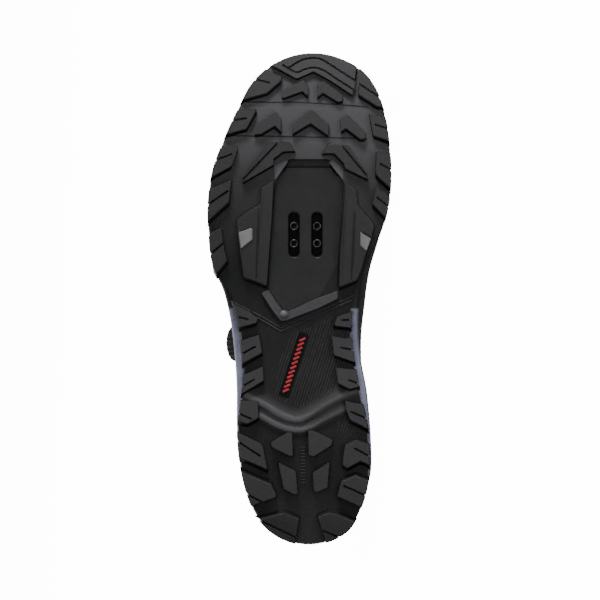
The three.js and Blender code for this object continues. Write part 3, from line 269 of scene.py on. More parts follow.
def edge_line(side, first, last, count, clear=0.0, waisted=True):
    """Points along the sole's edge between two stations, drawn in by a clearance."""
    turn = np.linspace(turn_of(first), turn_of(last), count)
    share = station_of(turn)
    taper = clear + (waist(share) if waisted else 0)
    x = LENGTH / 2 + (share - 0.5) * (LENGTH - 2 * taper)
    return np.column_stack([x, side * (reach(share, side) - taper * np.sin(turn))])


def sole_ring(steps, clear, waisted):
    """The whole outline, from the heel along the lateral side to the toe and back."""
    lateral = edge_line(LATERAL, 0, 1, steps + 1, clear, waisted)[:-1]
    medial = edge_line(MEDIAL, 1, 0, steps + 1, clear, waisted)[:-1]
    return np.concatenate([lateral, medial])


# Meshes
STRAIGHT = -0.97
ARC_SHARE = 0.45
ARC_POINTS = 4
SHARP_TURN = 0.12
INSET_LIMIT = 2.2
TINY = 1e-12
LOOP_CLEAR = 0.45
LINE_CLEAR = 0.3


def put_piece(name, mesh, material, slot, replaces=(), sharp=None):
    """A smooth object with one material, riding on the one body."""
    mesh.polygons.foreach_set("use_smooth", [True] * len(mesh.polygons))
    mesh.update()
    if sharp is not None:
        mesh.set_sharp_from_angle(angle=math.radians(sharp))
    mesh.materials.clear()
    mesh.materials.append(material)
    piece = bpy.data.objects.new(name, mesh)
    bpy.context.scene.collection.objects.link(piece)
    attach(piece, "root")
    if replaces:
        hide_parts(*replaces)
    return piece


def new_piece(name, points, faces, material, marks=None, uv=None, **rest):
    """A mesh in the row's frame from points of the shoe's frame; none lies under the floor."""
    mesh = bpy.data.meshes.new(name)
    placed = to_row(points)
    placed[:, 2] = np.maximum(placed[:, 2], 0.0)
    mesh.from_pydata(placed.tolist(), [], [tuple(map(int, face)) for face in faces])
    for key, values in (marks or {}).items():
        layer = mesh.attributes.new(key, "FLOAT", "POINT")
        layer.data.foreach_set("value", np.asarray(values, np.float32))
    if uv is not None:
        layer = mesh.uv_layers.new(name="UVMap")
        corners = np.empty(len(mesh.loops), np.int32)
        mesh.loops.foreach_get("vertex_index", corners)
        layer.data.foreach_set("uv", np.asarray(uv, np.float32)[corners].ravel())
    mesh.validate()
    return put_piece(name, mesh, material, **rest)


def weld(piece, distance):
    """Joins doubled points and makes the faces look outward."""
    work = bmesh.new()
    work.from_mesh(piece.data)
    bmesh.ops.remove_doubles(work, verts=work.verts, dist=distance)
    bmesh.ops.recalc_face_normals(work, faces=work.faces)
    work.to_mesh(piece.data)
    work.free()


class Builder:
    """Collects closed forms of the shoe's frame into one mesh, with a wear mark and a tone mark, mostly painted
    light and shade, for each point.
    """

    def __init__(self):
        self.points, self.faces, self.wear, self.tone = [], [], [], []

    def add(self, points, faces, wear=0.0, tone=0.0):
        start, count = len(self.points), len(points)
        self.points.extend(map(tuple, points))
        self.faces.extend([tuple(int(index) + start for index in face) for face in faces])
        self.wear.extend(np.broadcast_to(wear, count).tolist())
        self.tone.extend(np.broadcast_to(tone, count).tolist())

    def piece(self, name, material, **rest):
        marks = {"wear": self.wear, "tone": self.tone}
        return new_piece(name, self.points, self.faces, material, marks=marks, **rest)


def grid_faces(rows, columns, ring=True, wrap=False, flip=False):
    """Quads of a grid of points; a ring closes its columns, a wrap joins its last row to its first."""
    row, column = np.meshgrid(np.arange(rows - (not wrap)), np.arange(columns - (not ring)), indexing="ij")
    below, beside = (row + 1) % rows * columns, (column + 1) % columns
    corners = [row * columns + column, below + column, below + beside, row * columns + beside]
    if flip:
        corners = [corners[index] for index in (0, 3, 2, 1)]
    return np.stack(corners, axis=-1).reshape(-1, 4).tolist()


def loft(rings, flip=False, tips=None):
    """Points and faces of rings joined one to the next, closed by flat ends or by fans round two tips."""
    rings = np.asarray(rings, float)
    rows, count = rings.shape[:2]
    faces = grid_faces(rows, count, flip=flip)
    points = rings.reshape(-1, 3)
    first, last = list(range(count)), list(range((rows - 1) * count, rows * count))
    ends = (first[::-1], last) if flip else (first, last[::-1])
    if tips is None:
        return points, faces + list(ends)
    for tip, end in enumerate(ends):
        faces += [(rows * count + tip, a, b) for a, b in zip(end, end[1:] + end[:1])]
    return np.concatenate([points, np.asarray(tips, float)]), faces


def turned_rings(center, profile, count):
    """Rings round an upright axis, one for each radius and height of a profile."""
    turn = np.linspace(0, 2 * math.pi, count, endpoint=False)
    return np.array([
        np.column_stack([center[0] + radius * np.cos(turn), center[1] + radius * np.sin(turn), 0 * turn + height])
        for radius, height in profile
    ])


def plan_area(outline):
    x, y = outline[:, 0], outline[:, 1]
    return np.sum(x * np.roll(y, -1) - np.roll(x, -1) * y) / 2


def counterclockwise(outline):
    return outline if plan_area(outline) > 0 else outline[::-1]


def left_of(way):
    """Ways turned a quarter to the left."""
    return np.stack([-way[..., 1], way[..., 0]], axis=-1)


def travelled_along(path):
    return np.concatenate([[0], np.cumsum(np.linalg.norm(np.diff(path, axis=0), axis=1))])


def unit(vectors):
    return vectors / np.maximum(np.linalg.norm(vectors, axis=-1, keepdims=True), TINY)


def arc(first, corner, last, count):
    """Points of a bend from one place to another, drawn towards a corner."""
    return [(1 - share) ** 2 * first + 2 * share * (1 - share) * corner + share ** 2 * last
            for share in np.linspace(0, 1, count)]


def bends(corners):
    """Which corners of a polygon turn enough to be rounded."""
    start, end = np.roll(corners, 1, axis=0) - corners, np.roll(corners, -1, axis=0) - corners
    return np.sum(unit(start) * unit(end), axis=1) > STRAIGHT


def rounded(corners, radius, turning=None):
    """A polygon with each turning corner replaced by a short arc."""
    corners = np.asarray(corners, float)
    turning = bends(corners) if turning is None else turning
    outline = []
    for index, corner in enumerate(corners):
        if not turning[index]:
            outline.append(corner)
            continue
        start, end = corners[index - 1] - corner, corners[(index + 1) % len(corners)] - corner
        long_start, long_end = np.linalg.norm(start), np.linalg.norm(end)
        near = min(radius, ARC_SHARE * long_start, ARC_SHARE * long_end)
        first, last = corner + start / long_start * near, corner + end / long_end * near
        outline += arc(first, corner, last, ARC_POINTS)
    return np.array(outline)


def inset(outline, amounts):
    """A counterclockwise polygon with each edge drawn in by its own amount, less where an edge would vanish."""
    amounts = np.broadcast_to(np.asarray(amounts, float), len(outline))
    way = unit(np.roll(outline, -1, axis=0) - outline)
    normal = left_of(way)
    before, amounts_before = np.roll(normal, 1, axis=0), np.roll(amounts, 1)
    cross = before[:, 0] * normal[:, 1] - before[:, 1] * normal[:, 0]
    sharp = np.abs(cross) > SHARP_TURN
    safe = np.where(sharp, cross, 1.0)
    corner = np.column_stack([
        (amounts_before * normal[:, 1] - amounts * before[:, 1]) / safe,
        (amounts * before[:, 0] - amounts_before * normal[:, 0]) / safe,
    ])
    smooth = unit(before + normal) * ((amounts + amounts_before) / 2)[:, None]
    move = np.where(sharp[:, None], corner, smooth)
    limit = INSET_LIMIT * np.maximum(np.abs(amounts), np.abs(amounts_before))
    size = np.linalg.norm(move, axis=1)
    move *= np.minimum(1, limit / np.maximum(size, 1e-9))[:, None]
    for share in (1, 0.8, 0.6, 0.4, 0.2):
        drawn = outline + move * share
        if np.all(np.sum((np.roll(drawn, -1, axis=0) - drawn) * way, axis=1) > 0):
            return drawn
    return outline


def inside(points, ring):
    """Which points lie inside a polygon."""
    points, ring = np.asarray(points, float), np.asarray(ring, float)
    x, y = points[:, 0:1], points[:, 1:2]
    x0, y0 = ring[:, 0], ring[:, 1]
    x1, y1 = np.roll(x0, -1), np.roll(y0, -1)
    rise = np.where(np.abs(y1 - y0) < TINY, TINY, y1 - y0)
    crosses = ((y0 > y) != (y1 > y)) & (x < (x1 - x0) * (y - y0) / rise + x0)
    return crosses.sum(axis=1) % 2 == 1


def gap_to(points, ring, closed=True):
    """Distance from each point to a polygon or a line of points."""
    points, ring = np.asarray(points, float), np.asarray(ring, float)
    start = ring if closed else ring[:-1]
    end = np.roll(ring, -1, axis=0) if closed else ring[1:]
    best = np.full(len(points), 1e9)
    for a, b in zip(start, end):
        way = b - a
        share = np.clip(((points - a) @ way) / max(way @ way, TINY), 0, 1)
        best = np.minimum(best, np.linalg.norm(points - a - share[:, None] * way, axis=1))
    return best


def slit_ring(line, half):
    """A narrow closed ring round a line of points."""
    line = np.asarray(line, float)
    across = left_of(unit(np.gradient(line, axis=0))) * half
    return counterclockwise(np.concatenate([line + across, (line - across)[::-1]]))


# Lugs: cuts, ground bevel, painted shade and draw of the flanks, and the feet on which one flank stands
SIPE_HALF = 0.5
LUG_BEVEL = 0.38
FLANK_PAINTED_SHADE = -1.0
FLANK_LEAST = 0.6
SLIT_DRAFT = 0.12
CUT_RADIUS = 0.6
LUG_FOOT = 2.3
CHEVRON_FOOT = 1.5
TOE_FOOT = 0.9
FOOT_TURN = 0.3
HEEL_TURNS = 0.16
SMALLEST_LUG = 2.5
SHORTEST_EDGE = 0.06
CUT_REACH = 0.03
# Section of a bead: shares of its half width and of its height
BEAD = ((-1, -0.3), (-0.75, 0.5), (-0.3, 0.95), (0.3, 0.95), (0.75, 0.5), (1, -0.3))
# Rings of a lug from root to ground: draft, bevel inward, bevel up, wear, foot, all as shares
LUG_RINGS = (
    (0, 0, None, 0, 1), (0.75, 0, 1, 0.1, 0.15), (1, 0.08, 0.45, 0.7, 0), (1, 0.35, 0.1, 1, 0),
    (1, 0.8, 0, 0.5, 0), (1, 1.5, 0, 0, 0),
)


def chain_edges(start, count, closed=True):
    return [(start + step, start + (step + 1) % count) for step in range(count if closed else count - 1)]


def triangulated(points, edges, outline, holes, precision):
    """Triangles over an outline less its holes, which keep the given edges."""
    result = delaunay_2d_cdt([Vector(point) for point in points], edges, [], 0, precision)
    placed = np.array([tuple(point) for point in result[0]])
    triangles = np.array(result[2])
    middle = placed[triangles].mean(axis=1)
    kept = inside(middle, outline)
    for hole in holes:
        kept &= ~inside(middle, hole)
    return placed, turned_up(placed, triangles[kept])


def cut_plan(outline, slits):
    """The polygons left when thin slits are taken out of one, with a flag for each edge that a slit made."""
    points, edges = [], []
    for loop in (outline, *slits):
        edges += chain_edges(len(points), len(loop))
        points += list(loop)
    placed, triangles = triangulated(points, edges, outline, slits, 1e-5)
    following = dict(boundary(triangles))
    left = []
    while following:
        start, end = following.popitem()
        walk = [start]
        while end != walk[0]:
            walk.append(end)
            end = following.pop(end)
        loop = placed[walk]
        loop = loop[np.linalg.norm(np.roll(loop, -1, axis=0) - loop, axis=1) > SHORTEST_EDGE]
        if plan_area(loop) < SMALLEST_LUG:
            continue
        halfway = (loop + np.roll(loop, -1, axis=0)) / 2
        made = np.zeros(len(loop), bool)
        for slit in slits:
            made |= gap_to(halfway, slit) < CUT_REACH
        left.append((loop, made))
    return left


def add_lug(builder, outline, face, root, cuts=(), draft=LUG_DRAFT, bevel=LUG_BEVEL, radius=0.9, tone=0.0,
            worn=1.0, foot=0.0):
    """A moulded block over a plan outline: drawn-in flanks painted black as shade, a rounded ground edge and open
    cuts.

    The flank towards the heel stands on a foot that reaches past the outline; at the heel's end it is the
    flank towards the toe.
    """
    slits = [slit_ring(line, SIPE_HALF) for line in cuts]
    for corners, made in cut_plan(counterclockwise(np.asarray(outline, float)), slits):
        turning = bends(corners)
        way = unit(np.roll(corners, -1, axis=0) - corners)
        heelward = np.where(corners[:, 0].mean() > HEEL_TURNS * LENGTH, -way[:, 1], way[:, 1])
        spread = foot * np.clip((heelward - FOOT_TURN) / FOOT_TURN, 0, 1) * ~made
        rings, wear = [], []
        for of_draft, of_bevel, lift, share, down in LUG_RINGS:
            pull = of_draft * draft + of_bevel * bevel
            drawn = inset(corners, np.where(made, SLIT_DRAFT * pull, pull * FLANK_LEAST - spread * down))
            ring = rounded(drawn, min(radius, CUT_RADIUS) if made.any() else radius, turning)
            height = root(ring[:, 0]) if lift is None else face(ring[:, 0]) + lift * bevel
            rings.append(np.column_stack([ring, height]))
            wear += [share * worn] * len(ring)
        add_block(builder, rings, wear, tone)


def add_block(builder, rings, wear, tone):
    """The rings of a lug joined up: flanks painted black as shade, and a flat face with the tone's painted light."""
    count, last = len(rings[0]), (len(rings) - 1) * len(rings[0])
    points, faces = loft(rings)
    faces.pop()
    tones = [FLANK_PAINTED_SHADE] * (2 * count) + [tone] * (count * (len(rings) - 2))
    for triangle in tessellate_polygon([[Vector((x, y, 0)) for x, y, _ in rings[-1]]]):
        a, b, c = (last + index for index in triangle)
        (ax, ay), (bx, by) = points[b][:2] - points[a][:2], points[c][:2] - points[a][:2]
        faces.append((a, c, b) if ax * by - ay * bx > 0 else (a, b, c))
    builder.add(points, faces, wear, tones)


def turned_up(placed, triangles):
    """The same triangles, each counterclockwise, without the ones that have no area."""
    a, b, c = (placed[triangles[:, corner]] for corner in range(3))
    turned = (b[:, 0] - a[:, 0]) * (c[:, 1] - a[:, 1]) - (b[:, 1] - a[:, 1]) * (c[:, 0] - a[:, 0])
    triangles[turned < 0] = triangles[turned < 0][:, ::-1]
    return triangles[np.abs(turned) > 1e-9]


def plan_mesh(loops, spacing, lines=()):
    """Triangles over a plan region: the first loop is its outline, the others are holes."""
    points, edges = [], []
    for loop in loops:
        edges += chain_edges(len(points), len(loop))
        points += list(loop)
    for line in lines:
        edges += chain_edges(len(points), len(line), False)
        points += list(line)
    low, high = np.min(loops[0], axis=0), np.max(loops[0], axis=0)
    xs, ys = np.meshgrid(np.arange(low[0], high[0], spacing), np.arange(low[1], high[1], spacing))
    xs = xs + (np.arange(len(xs)) % 2)[:, None] * spacing / 2
    grid = np.column_stack([xs.ravel(), ys.ravel()])
    grid = grid[inside(grid, loops[0])]
    for hole in loops[1:]:
        grid = grid[~inside(grid, hole)]
    for loop in loops:
        grid = grid[gap_to(grid, loop) > spacing * LOOP_CLEAR]
    for line in lines:
        grid = grid[gap_to(grid, line, closed=False) > spacing * LINE_CLEAR]
    return triangulated(points + list(grid), edges, loops[0], loops[1:], 1e-6)


def boundary(triangles):
    """Directed edges that only one triangle has."""
    edges = np.concatenate([triangles[:, [0, 1]], triangles[:, [1, 2]], triangles[:, [2, 0]]])
    keys = {tuple(edge) for edge in edges.tolist()}
    return [edge for edge in keys if (edge[1], edge[0]) not in keys]


def plan_solid(builder, loops, under, top, spacing, lines=(), tone=level(0)):
    """A closed solid over a plan region, with a height for its underside and its top."""
    placed, triangles = plan_mesh(loops, spacing, lines)
    count = len(placed)
    x, y = placed[:, 0], placed[:, 1]
    points = np.concatenate([np.column_stack([x, y, under(x, y)]), np.column_stack([x, y, top(x, y)])])
    faces = [tuple(face) for face in triangles[:, ::-1]] + [tuple(face) for face in triangles + count]
    faces += [(a, b, b + count, a + count) for a, b in boundary(triangles)]
    builder.add(points, faces, tone=np.concatenate([tone(x, y), np.zeros(count)]))


def add_bead(builder, line, count, half, height, base, tone=0.2):
    """A low rounded ridge along a line of the photo's frame, with a painted highlight by default and a line of
    painted shade where its tone is below zero.
    """
    path = spline(on_sole(line), count)
    across = left_of(unit(np.gradient(path, axis=0))) * half
    rings = []
    for turn, rise in BEAD:
        ring = path + across * turn
        rings.append(np.column_stack([ring, base(ring[:, 0], ring[:, 1]) - rise * height]))
    builder.add(*loft(np.stack(rings, axis=1)), tone=tone)


def spline(points, count):
    """A smooth line through a few points."""
    points = np.asarray(points, float)
    along = travelled_along(points)
    rows = [(distance, *point) for distance, point in zip(along, points)]
    where = np.linspace(0, along[-1], count)
    return np.column_stack([curve_through(rows, column + 1)(where) for column in range(points.shape[1])])


# Materials
class Look:
    """A node material, with short calls for the textures that the finishes share."""

    def __init__(self, name, colour, roughness, metallic=0.0, specular=0.5, coat=0.0, coat_roughness=0.3,
                 sheen=0.0):
        self.material = bpy.data.materials.new(name)
        self.material.use_nodes = True
        self.tree = self.material.node_tree
        self.shader = self.tree.nodes["Principled BSDF"]
        self.colour = (*colour, 1)
        self.set("Base Color", self.colour)
        self.set("Roughness", roughness)
        self.set("Metallic", metallic)
        self.set("Specular IOR Level", specular)
        self.set("Coat Weight", coat)
        self.set("Coat Roughness", coat_roughness)
        self.set("Sheen Weight", sheen)
        self.place = self.node("ShaderNodeTexCoord").outputs["Object"]
        self.normal = None

    def set(self, socket, value):
        self.shader.inputs[socket].default_value = value

    def node(self, kind, **settings):
        node = self.tree.nodes.new(kind)
        for key, value in settings.items():
            setattr(node, key, value)
        return node

    def put(self, value, socket):
        if isinstance(value, bpy.types.NodeSocket):
            self.tree.links.new(value, socket)
        else:
            socket.default_value = value

    def noise(self, scale, detail, stretch=None):
        place = self.place
        if stretch:
            mapping = self.node("ShaderNodeMapping")
            self.put(place, mapping.inputs["Vector"])
            mapping.inputs["Scale"].default_value = stretch
            place = mapping.outputs["Vector"]
        texture = self.node("ShaderNodeTexNoise")
        self.put(place, texture.inputs["Vector"])
        texture.inputs["Scale"].default_value = scale
        texture.inputs["Detail"].default_value = detail
        return texture.outputs["Fac"]

    def cells(self, scale):
        texture = self.node("ShaderNodeTexVoronoi")
        self.put(self.place, texture.inputs["Vector"])
        texture.inputs["Scale"].default_value = scale
        return texture.outputs["Distance"]

    def mark(self, name):
        return self.node("ShaderNodeAttribute", attribute_name=name).outputs["Fac"]

    def math(self, operation, first, second=0.0):
        node = self.node("ShaderNodeMath", operation=operation)
        self.put(first, node.inputs[0])
        self.put(second, node.inputs[1])
        return node.outputs[0]

    def span(self, value, low, high, to_low=0.0, to_high=1.0):
        node = self.node("ShaderNodeMapRange")
        self.put(value, node.inputs["Value"])
        for socket, number in zip(("From Min", "From Max", "To Min", "To Max"), (low, high, to_low, to_high)):
            node.inputs[socket].default_value = number
        return node.outputs["Result"]

    def blend(self, factor, first, second):
        node = self.node("ShaderNodeMix", data_type="RGBA")
        self.put(factor, node.inputs["Factor"])
        self.put(first, node.inputs["A"])
        self.put(second, node.inputs["B"])
        return node.outputs["Result"]

    def mottle(self, scale, detail, low, high, first, second, stretch=None):
        """A mix of two colours by a noise, between two levels of it."""
        return self.blend(self.span(self.noise(scale, detail, stretch), low, high), first, second)

    def toned(self, low, high, ground, colour):
        """The ground, turning into a colour between two levels of the mesh's tone mark, which on the rubber, plate
        and nut is painted light and shade.
        """
        return self.blend(self.span(self.mark("tone"), low, high), ground, colour)

    def paint(self, colour):
        self.put(colour, self.shader.inputs["Base Color"])

    def gloss(self, scale, detail, low, high):
        """Roughness that drifts between two values."""
        self.put(self.span(self.noise(scale, detail), 0.3, 0.7, low, high), self.shader.inputs["Roughness"])

    def grain(self, scale, detail, distance, strength):
        self.bump(self.noise(scale, detail), distance, strength)

    def bump(self, height, distance, strength):
        node = self.node("ShaderNodeBump")
        node.inputs["Strength"].default_value = strength
        node.inputs["Distance"].default_value = distance
        self.put(height, node.inputs["Height"])
        if self.normal is not None:
            self.put(self.normal, node.inputs["Normal"])
        self.normal = node.outputs["Normal"]
        self.put(self.normal, self.shader.inputs["Normal"])

    def uv(self, scale_u, scale_v):
        mapping = self.node("ShaderNodeMapping")
        self.put(self.node("ShaderNodeTexCoord").outputs["UV"], mapping.inputs["Vector"])
        mapping.inputs["Scale"].default_value = (scale_u, scale_v, 1)
        return mapping.outputs["Vector"]

    def wave(self, place, direction):
        texture = self.node("ShaderNodeTexWave", wave_type="BANDS", bands_direction=direction)
        self.put(place, texture.inputs["Vector"])
        texture.inputs["Scale"].default_value = 1.0
        return texture.outputs["Fac"]


def shade(colour, factor):
    return (*(part * factor for part in colour), 1)


def rubber_look():
    colour = (0.0225, 0.0225, 0.024)
    look = Look("moulded_rubber", colour, 0.6, specular=0.3)
    ground = look.mottle(28, 3, 0.35, 0.65, shade(colour, 0.84), shade(colour, 1.14))
    ground = look.mottle(900, 2, 0.3, 0.75, ground, shade(colour, 1.05))
    # Painted light: where the tone mark rises above zero the rubber lightens up to 3.4 times, on faces lit by the
    # toe-side lamp and on ridge crests.
    ground = look.toned(0.0, 1.0, ground, shade(colour, 3.4))
    worn = look.math("MULTIPLY", look.span(look.mark("wear"), 0.2, 1.0), look.span(look.noise(160, 3), 0.32, 0.62))
    ground = look.blend(look.math("MULTIPLY", worn, 0.6), ground, shade(colour, 2.6))
    # Painted shade: where the tone mark falls below zero the rubber darkens nearly to black, on shadowed flanks,
    # grooves and the arch.
    look.paint(look.toned(0.0, -1.0, ground, shade(colour, 0.08)))
    look.gloss(70, 3, 0.53, 0.69)
    look.grain(2600, 3, 0.00006, 0.55)
    look.grain(320, 2, 0.00008, 0.3)
    return look.material


def nylon_look():
    look = Look("satin_nylon", (0.0125, 0.0125, 0.0135), 0.48, specular=0.32)
    ground = look.mottle(45, 3, 0.3, 0.7, (0.0085, 0.0085, 0.0095, 1), (0.014, 0.014, 0.0155, 1), (1, 3, 1))
    # Painted light where the tone mark is above zero, and painted shade nearly black below it, on the cleat plate's
    # front step and rear facet.
    ground = look.toned(0.0, 1.0, ground, (0.075, 0.075, 0.08, 1))
    look.paint(look.toned(0.0, -1.0, ground, (0.002, 0.002, 0.0022, 1)))
    look.gloss(140, 3, 0.4, 0.55)
    look.grain(3200, 2, 0.00004, 0.4)
    return look.material


def steel_look():
    look = Look("blackened_steel_painted_shade", (0.1, 0.1, 0.105), 0.4, metallic=1.0)
    ground = look.mottle(420, 3, 0.35, 0.7, (0.05, 0.05, 0.053, 1), (0.15, 0.15, 0.155, 1))
    # Painted shade: where the tone mark is below zero, as on the nut plate seen through the slots, the steel is
    # painted nearly black.
    look.paint(look.toned(0.0, -1.0, ground, (0.006, 0.006, 0.0065, 1)))
    look.gloss(420, 3, 0.3, 0.5)
    look.grain(2200, 2, 0.00003, 0.5)
    return look.material


def foam_look():
    colour = (0.2, 0.21, 0.285)
    look = Look("moulded_foam", colour, 0.62, specular=0.35)
    ground = look.mottle(24, 3, 0.3, 0.7, shade(colour, 0.9), shade(colour, 1.1))
    dust = look.span(look.noise(90, 4), 0.58, 0.8)
    ground = look.blend(look.math("MULTIPLY", dust, 0.25), ground, shade(colour, 1.7))
    look.paint(look.toned(-0.42, -0.58, ground, (0.013, 0.013, 0.0145, 1)))
    look.gloss(120, 2, 0.55, 0.7)
    look.bump(look.cells(1400), 0.00007, 0.45)
    look.grain(260, 2, 0.0001, 0.3)
    return look.material


def weave_look(name, colour, pitch, roughness, sheen, lift, holes=None):
    look = Look(name, colour, roughness, specular=0.3, sheen=sheen)
    look.set("Sheen Roughness", 0.45)
    place = look.uv(*pitch)
    threads = look.math("MULTIPLY", look.wave(place, "X"), look.wave(place, "Y"))
    ground = look.mottle(35, 3, 0.3, 0.7, shade(colour, 0.8), shade(colour, 1.2))
    ground = look.blend(threads, shade(colour, 0.55), ground)
    if holes:
        place = look.uv(*holes)
        dots = look.span(look.math("MULTIPLY", look.wave(place, "X"), look.wave(place, "Y")), 0.62, 0.78)
        dots = look.math("MULTIPLY", dots, look.span(look.mark("holes"), 0.3, 0.7))
        ground = look.blend(dots, ground, shade(colour, 0.12))
        look.bump(look.math("SUBTRACT", 1.0, dots), 0.0003, 0.9)
    look.paint(ground)
    look.gloss(200, 2, roughness - 0.08, min(1, roughness + 0.08))
    look.bump(threads, lift, 0.7)
    look.grain(500, 3, 0.00012, 0.35)
    return look.material


def film_look():
    colour = (0.0135, 0.0135, 0.015)
    look = Look("overlay_film", colour, 0.4, specular=0.5, coat=0.12, coat_roughness=0.42)
    ground = look.mottle(40, 3, 0.3, 0.7, shade(colour, 0.8), shade(colour, 1.3))
    scuff = look.span(look.noise(75, 5, (1, 1, 4)), 0.6, 0.8)
    look.paint(look.blend(look.math("MULTIPLY", scuff, 0.3), ground, shade(colour, 3)))
    look.gloss(160, 3, 0.34, 0.52)
    look.bump(look.cells(1500), 0.00005, 0.5)
    return look.material


def plain_look(name, colour, roughness, tone=0.12, **rest):
    look = Look(name, colour, roughness, **rest)
    look.paint(look.mottle(120, 3, 0.3, 0.7, shade(colour, 1 - tone), shade(colour, 1 + tone)))
    look.gloss(240, 2, roughness - 0.06, min(1, roughness + 0.06))
    look.grain(1800, 2, 0.00004, 0.4)
    return look.material


def lace_look():
    look = Look("stranded_lace", (0.05, 0.05, 0.055), 0.38, specular=0.6, coat=0.2, coat_roughness=0.3)
    strands = look.wave(look.uv(60, 1), "DIAGONAL")
    look.paint(look.blend(strands, (0.025, 0.025, 0.028, 1), (0.08, 0.08, 0.085, 1)))
    look.bump(strands, 0.00008, 0.8)
    look.grain(900, 2, 0.00003, 0.4)
    return look.material


tread_rubber = rubber_look()
nylon = nylon_look()
steel = steel_look()
foam = foam_look()
upper_weave = weave_look("woven_upper", (0.022, 0.022, 0.0245), (118, 118), 0.7, 0.14, 0.00026, (14, 14))
lining_knit = weave_look("knitted_lining", (0.026, 0.026, 0.029), (260, 130), 0.85, 0.25, 0.00022)
film = film_look()
bar_red = plain_look("moulded_red", (0.42, 0.014, 0.026), 0.5)
# The rail facets are the same rubber, painted light grey as faces lit by the lamp.
facet_painted_light_grey = plain_look("rail_facets_painted_light", (0.16, 0.16, 0.165), 0.42, tone=0.2)
# The pocket lip is the same rubber, painted lighter as a face turned toward the lamp.
lip_painted_light_grey = plain_look("pocket_lip_painted_light", (0.038, 0.038, 0.041), 0.5)
thread_grey = plain_look("stitch_thread", (0.06, 0.06, 0.065), 0.7, tone=0.2)
# The lip knob is the same rubber, painted light grey as a highlight on its dome.
knob_painted_highlight_grey = plain_look("lip_knob_painted_highlight", (0.085, 0.085, 0.09), 0.45)
recess_black = plain_look("recess_black", (0.004, 0.004, 0.0045), 0.8, specular=0.12)
soft_lining = plain_look("brushed_lining", (0.03, 0.03, 0.033), 0.88, tone=0.25, sheen=0.3)
lace_steel = lace_look()


# Sole: the rubber skin in two parts, parted by a shallow V
def rear_edge(y):
    across = [row[0] * HALF_BALL for row in REAR_EDGE]
    return np.interp(y, across, [row[1] * LENGTH for row in REAR_EDGE])


def parted(ring, shift, front):
    """The part of a ring in front of the V edge, or behind it."""
    sign = 1 if front else -1
    depth = sign * (ring[:, 0] - rear_edge(ring[:, 1]) - shift)
    kept, ends = [], []
    count = len(ring)
    for index in range(count):
        following = (index + 1) % count
        if depth[index] > 0:
            kept.append(ring[index])
        if (depth[index] > 0) != (depth[following] > 0):
            share = depth[index] / (depth[index] - depth[following])
            kept.append(ring[index] + share * (ring[following] - ring[index]))
            ends.append(len(kept) - 1)
            if depth[index] > 0:
                leave = len(kept) - 1
    enter = ends[0] if ends[1] == leave else ends[1]
    start, end = kept[leave][1], kept[enter][1]
    ys = np.linspace(start, end, 44)[1:-1]
    knot = REAR_EDGE[2][0] * HALF_BALL
    ys[np.argmin(np.abs(ys - knot))] = knot
    edge = [np.array([x + shift, y]) for x, y in zip(rear_edge(ys), ys)]
    return np.array(kept[: leave + 1] + edge + kept[leave + 1:])


def pocket_ring(clear=0.0):
    out = [(at * LENGTH, low * HALF_BALL + clear) for at, low, high in POCKET]
    back = [(at * LENGTH, high * HALF_BALL - clear) for at, low, high in POCKET]
    return counterclockwise(rounded(np.array(out + back[::-1]), 1.5))


# Plan outlines of the tread in the photo's frame; each edge lug runs from its toe end to its heel end
FORE_LATERAL = (
    ((270.5, 70), (283, 78), (282, 82), (272, 90.5), (267, 95), (241, 102)),
    ((236.5, 112), (240, 110), (256.5, 110), (257, 112.5), (247, 130.5), (226, 136.5)),
    ((221, 149), (226.5, 147), (237.5, 146.5), (238.5, 150), (232.5, 167), (213, 179)),
    ((210.5, 190.5), (214, 188), (233, 180), (230.5, 199.5), (230.5, 202.5), (208, 223)),
    ((208, 237), (213, 231.5), (220.5, 228.5), (223, 230), (225.5, 250), (228.5, 261), (216, 274.5)),
)
FORE_LATERAL_SIPES = (
    ((253, 80), (270, 84)), ((228, 122.5), (247, 119.5)), ((212, 163), (233, 155)), ((204, 209), (229, 191.5)),
    ((206, 259), (226, 242)),
)
FORE_MEDIAL = (
    ((357.5, 69), (357.5, 96), (377, 108.5), (382.5, 108.5)),
    ((386, 120), (379, 116.5), (368, 115), (372, 137), (389, 143)),
    ((390, 157), (385, 153), (375, 152.5), (374.5, 174.5), (376, 177), (390, 190.5)),
    ((390, 199), (384, 193), (375.5, 187.5), (372, 205), (385.5, 219)),
)
FORE_MEDIAL_SIPES = (
    ((356, 83), (383, 101)), ((374, 125.5), (391, 131.5)), ((379, 164.5), (394, 173)), ((376, 198), (391, 210)),
)
REAR_LATERAL = (
    ((231, 302), (250, 311), (259, 318), (257.5, 323), (238.5, 329)),
    ((242, 341.5), (260, 333.5), (263, 352.5), (243, 366)),
    ((243, 377), (263, 366), (264, 380), (240.5, 395.5)),
    ((240, 401), (259, 400), (259.5, 417), (247.5, 423.5), (240, 421)),
    ((240, 430), (262, 442), (264, 445), (268.5, 469), (248, 460), (241, 456.5)),
    ((242, 469.5), (262, 478.5), (272, 482.5), (277, 493), (277, 496), (255, 505)),
    ((260, 517.5), (275, 513), (284.5, 510.5), (300, 517), (300, 543)),
)
REAR_LATERAL_SIPES = (
    ((229, 314.5), (249, 319.3)), ((239, 355.5), (256, 346)), ((238, 388.5), (255, 378.5)),
    ((236, 411), (252, 418)),
    ((236, 438.5), (261, 455)), ((244, 490.5), (265, 502)), ((257, 517), (303, 539)),
)
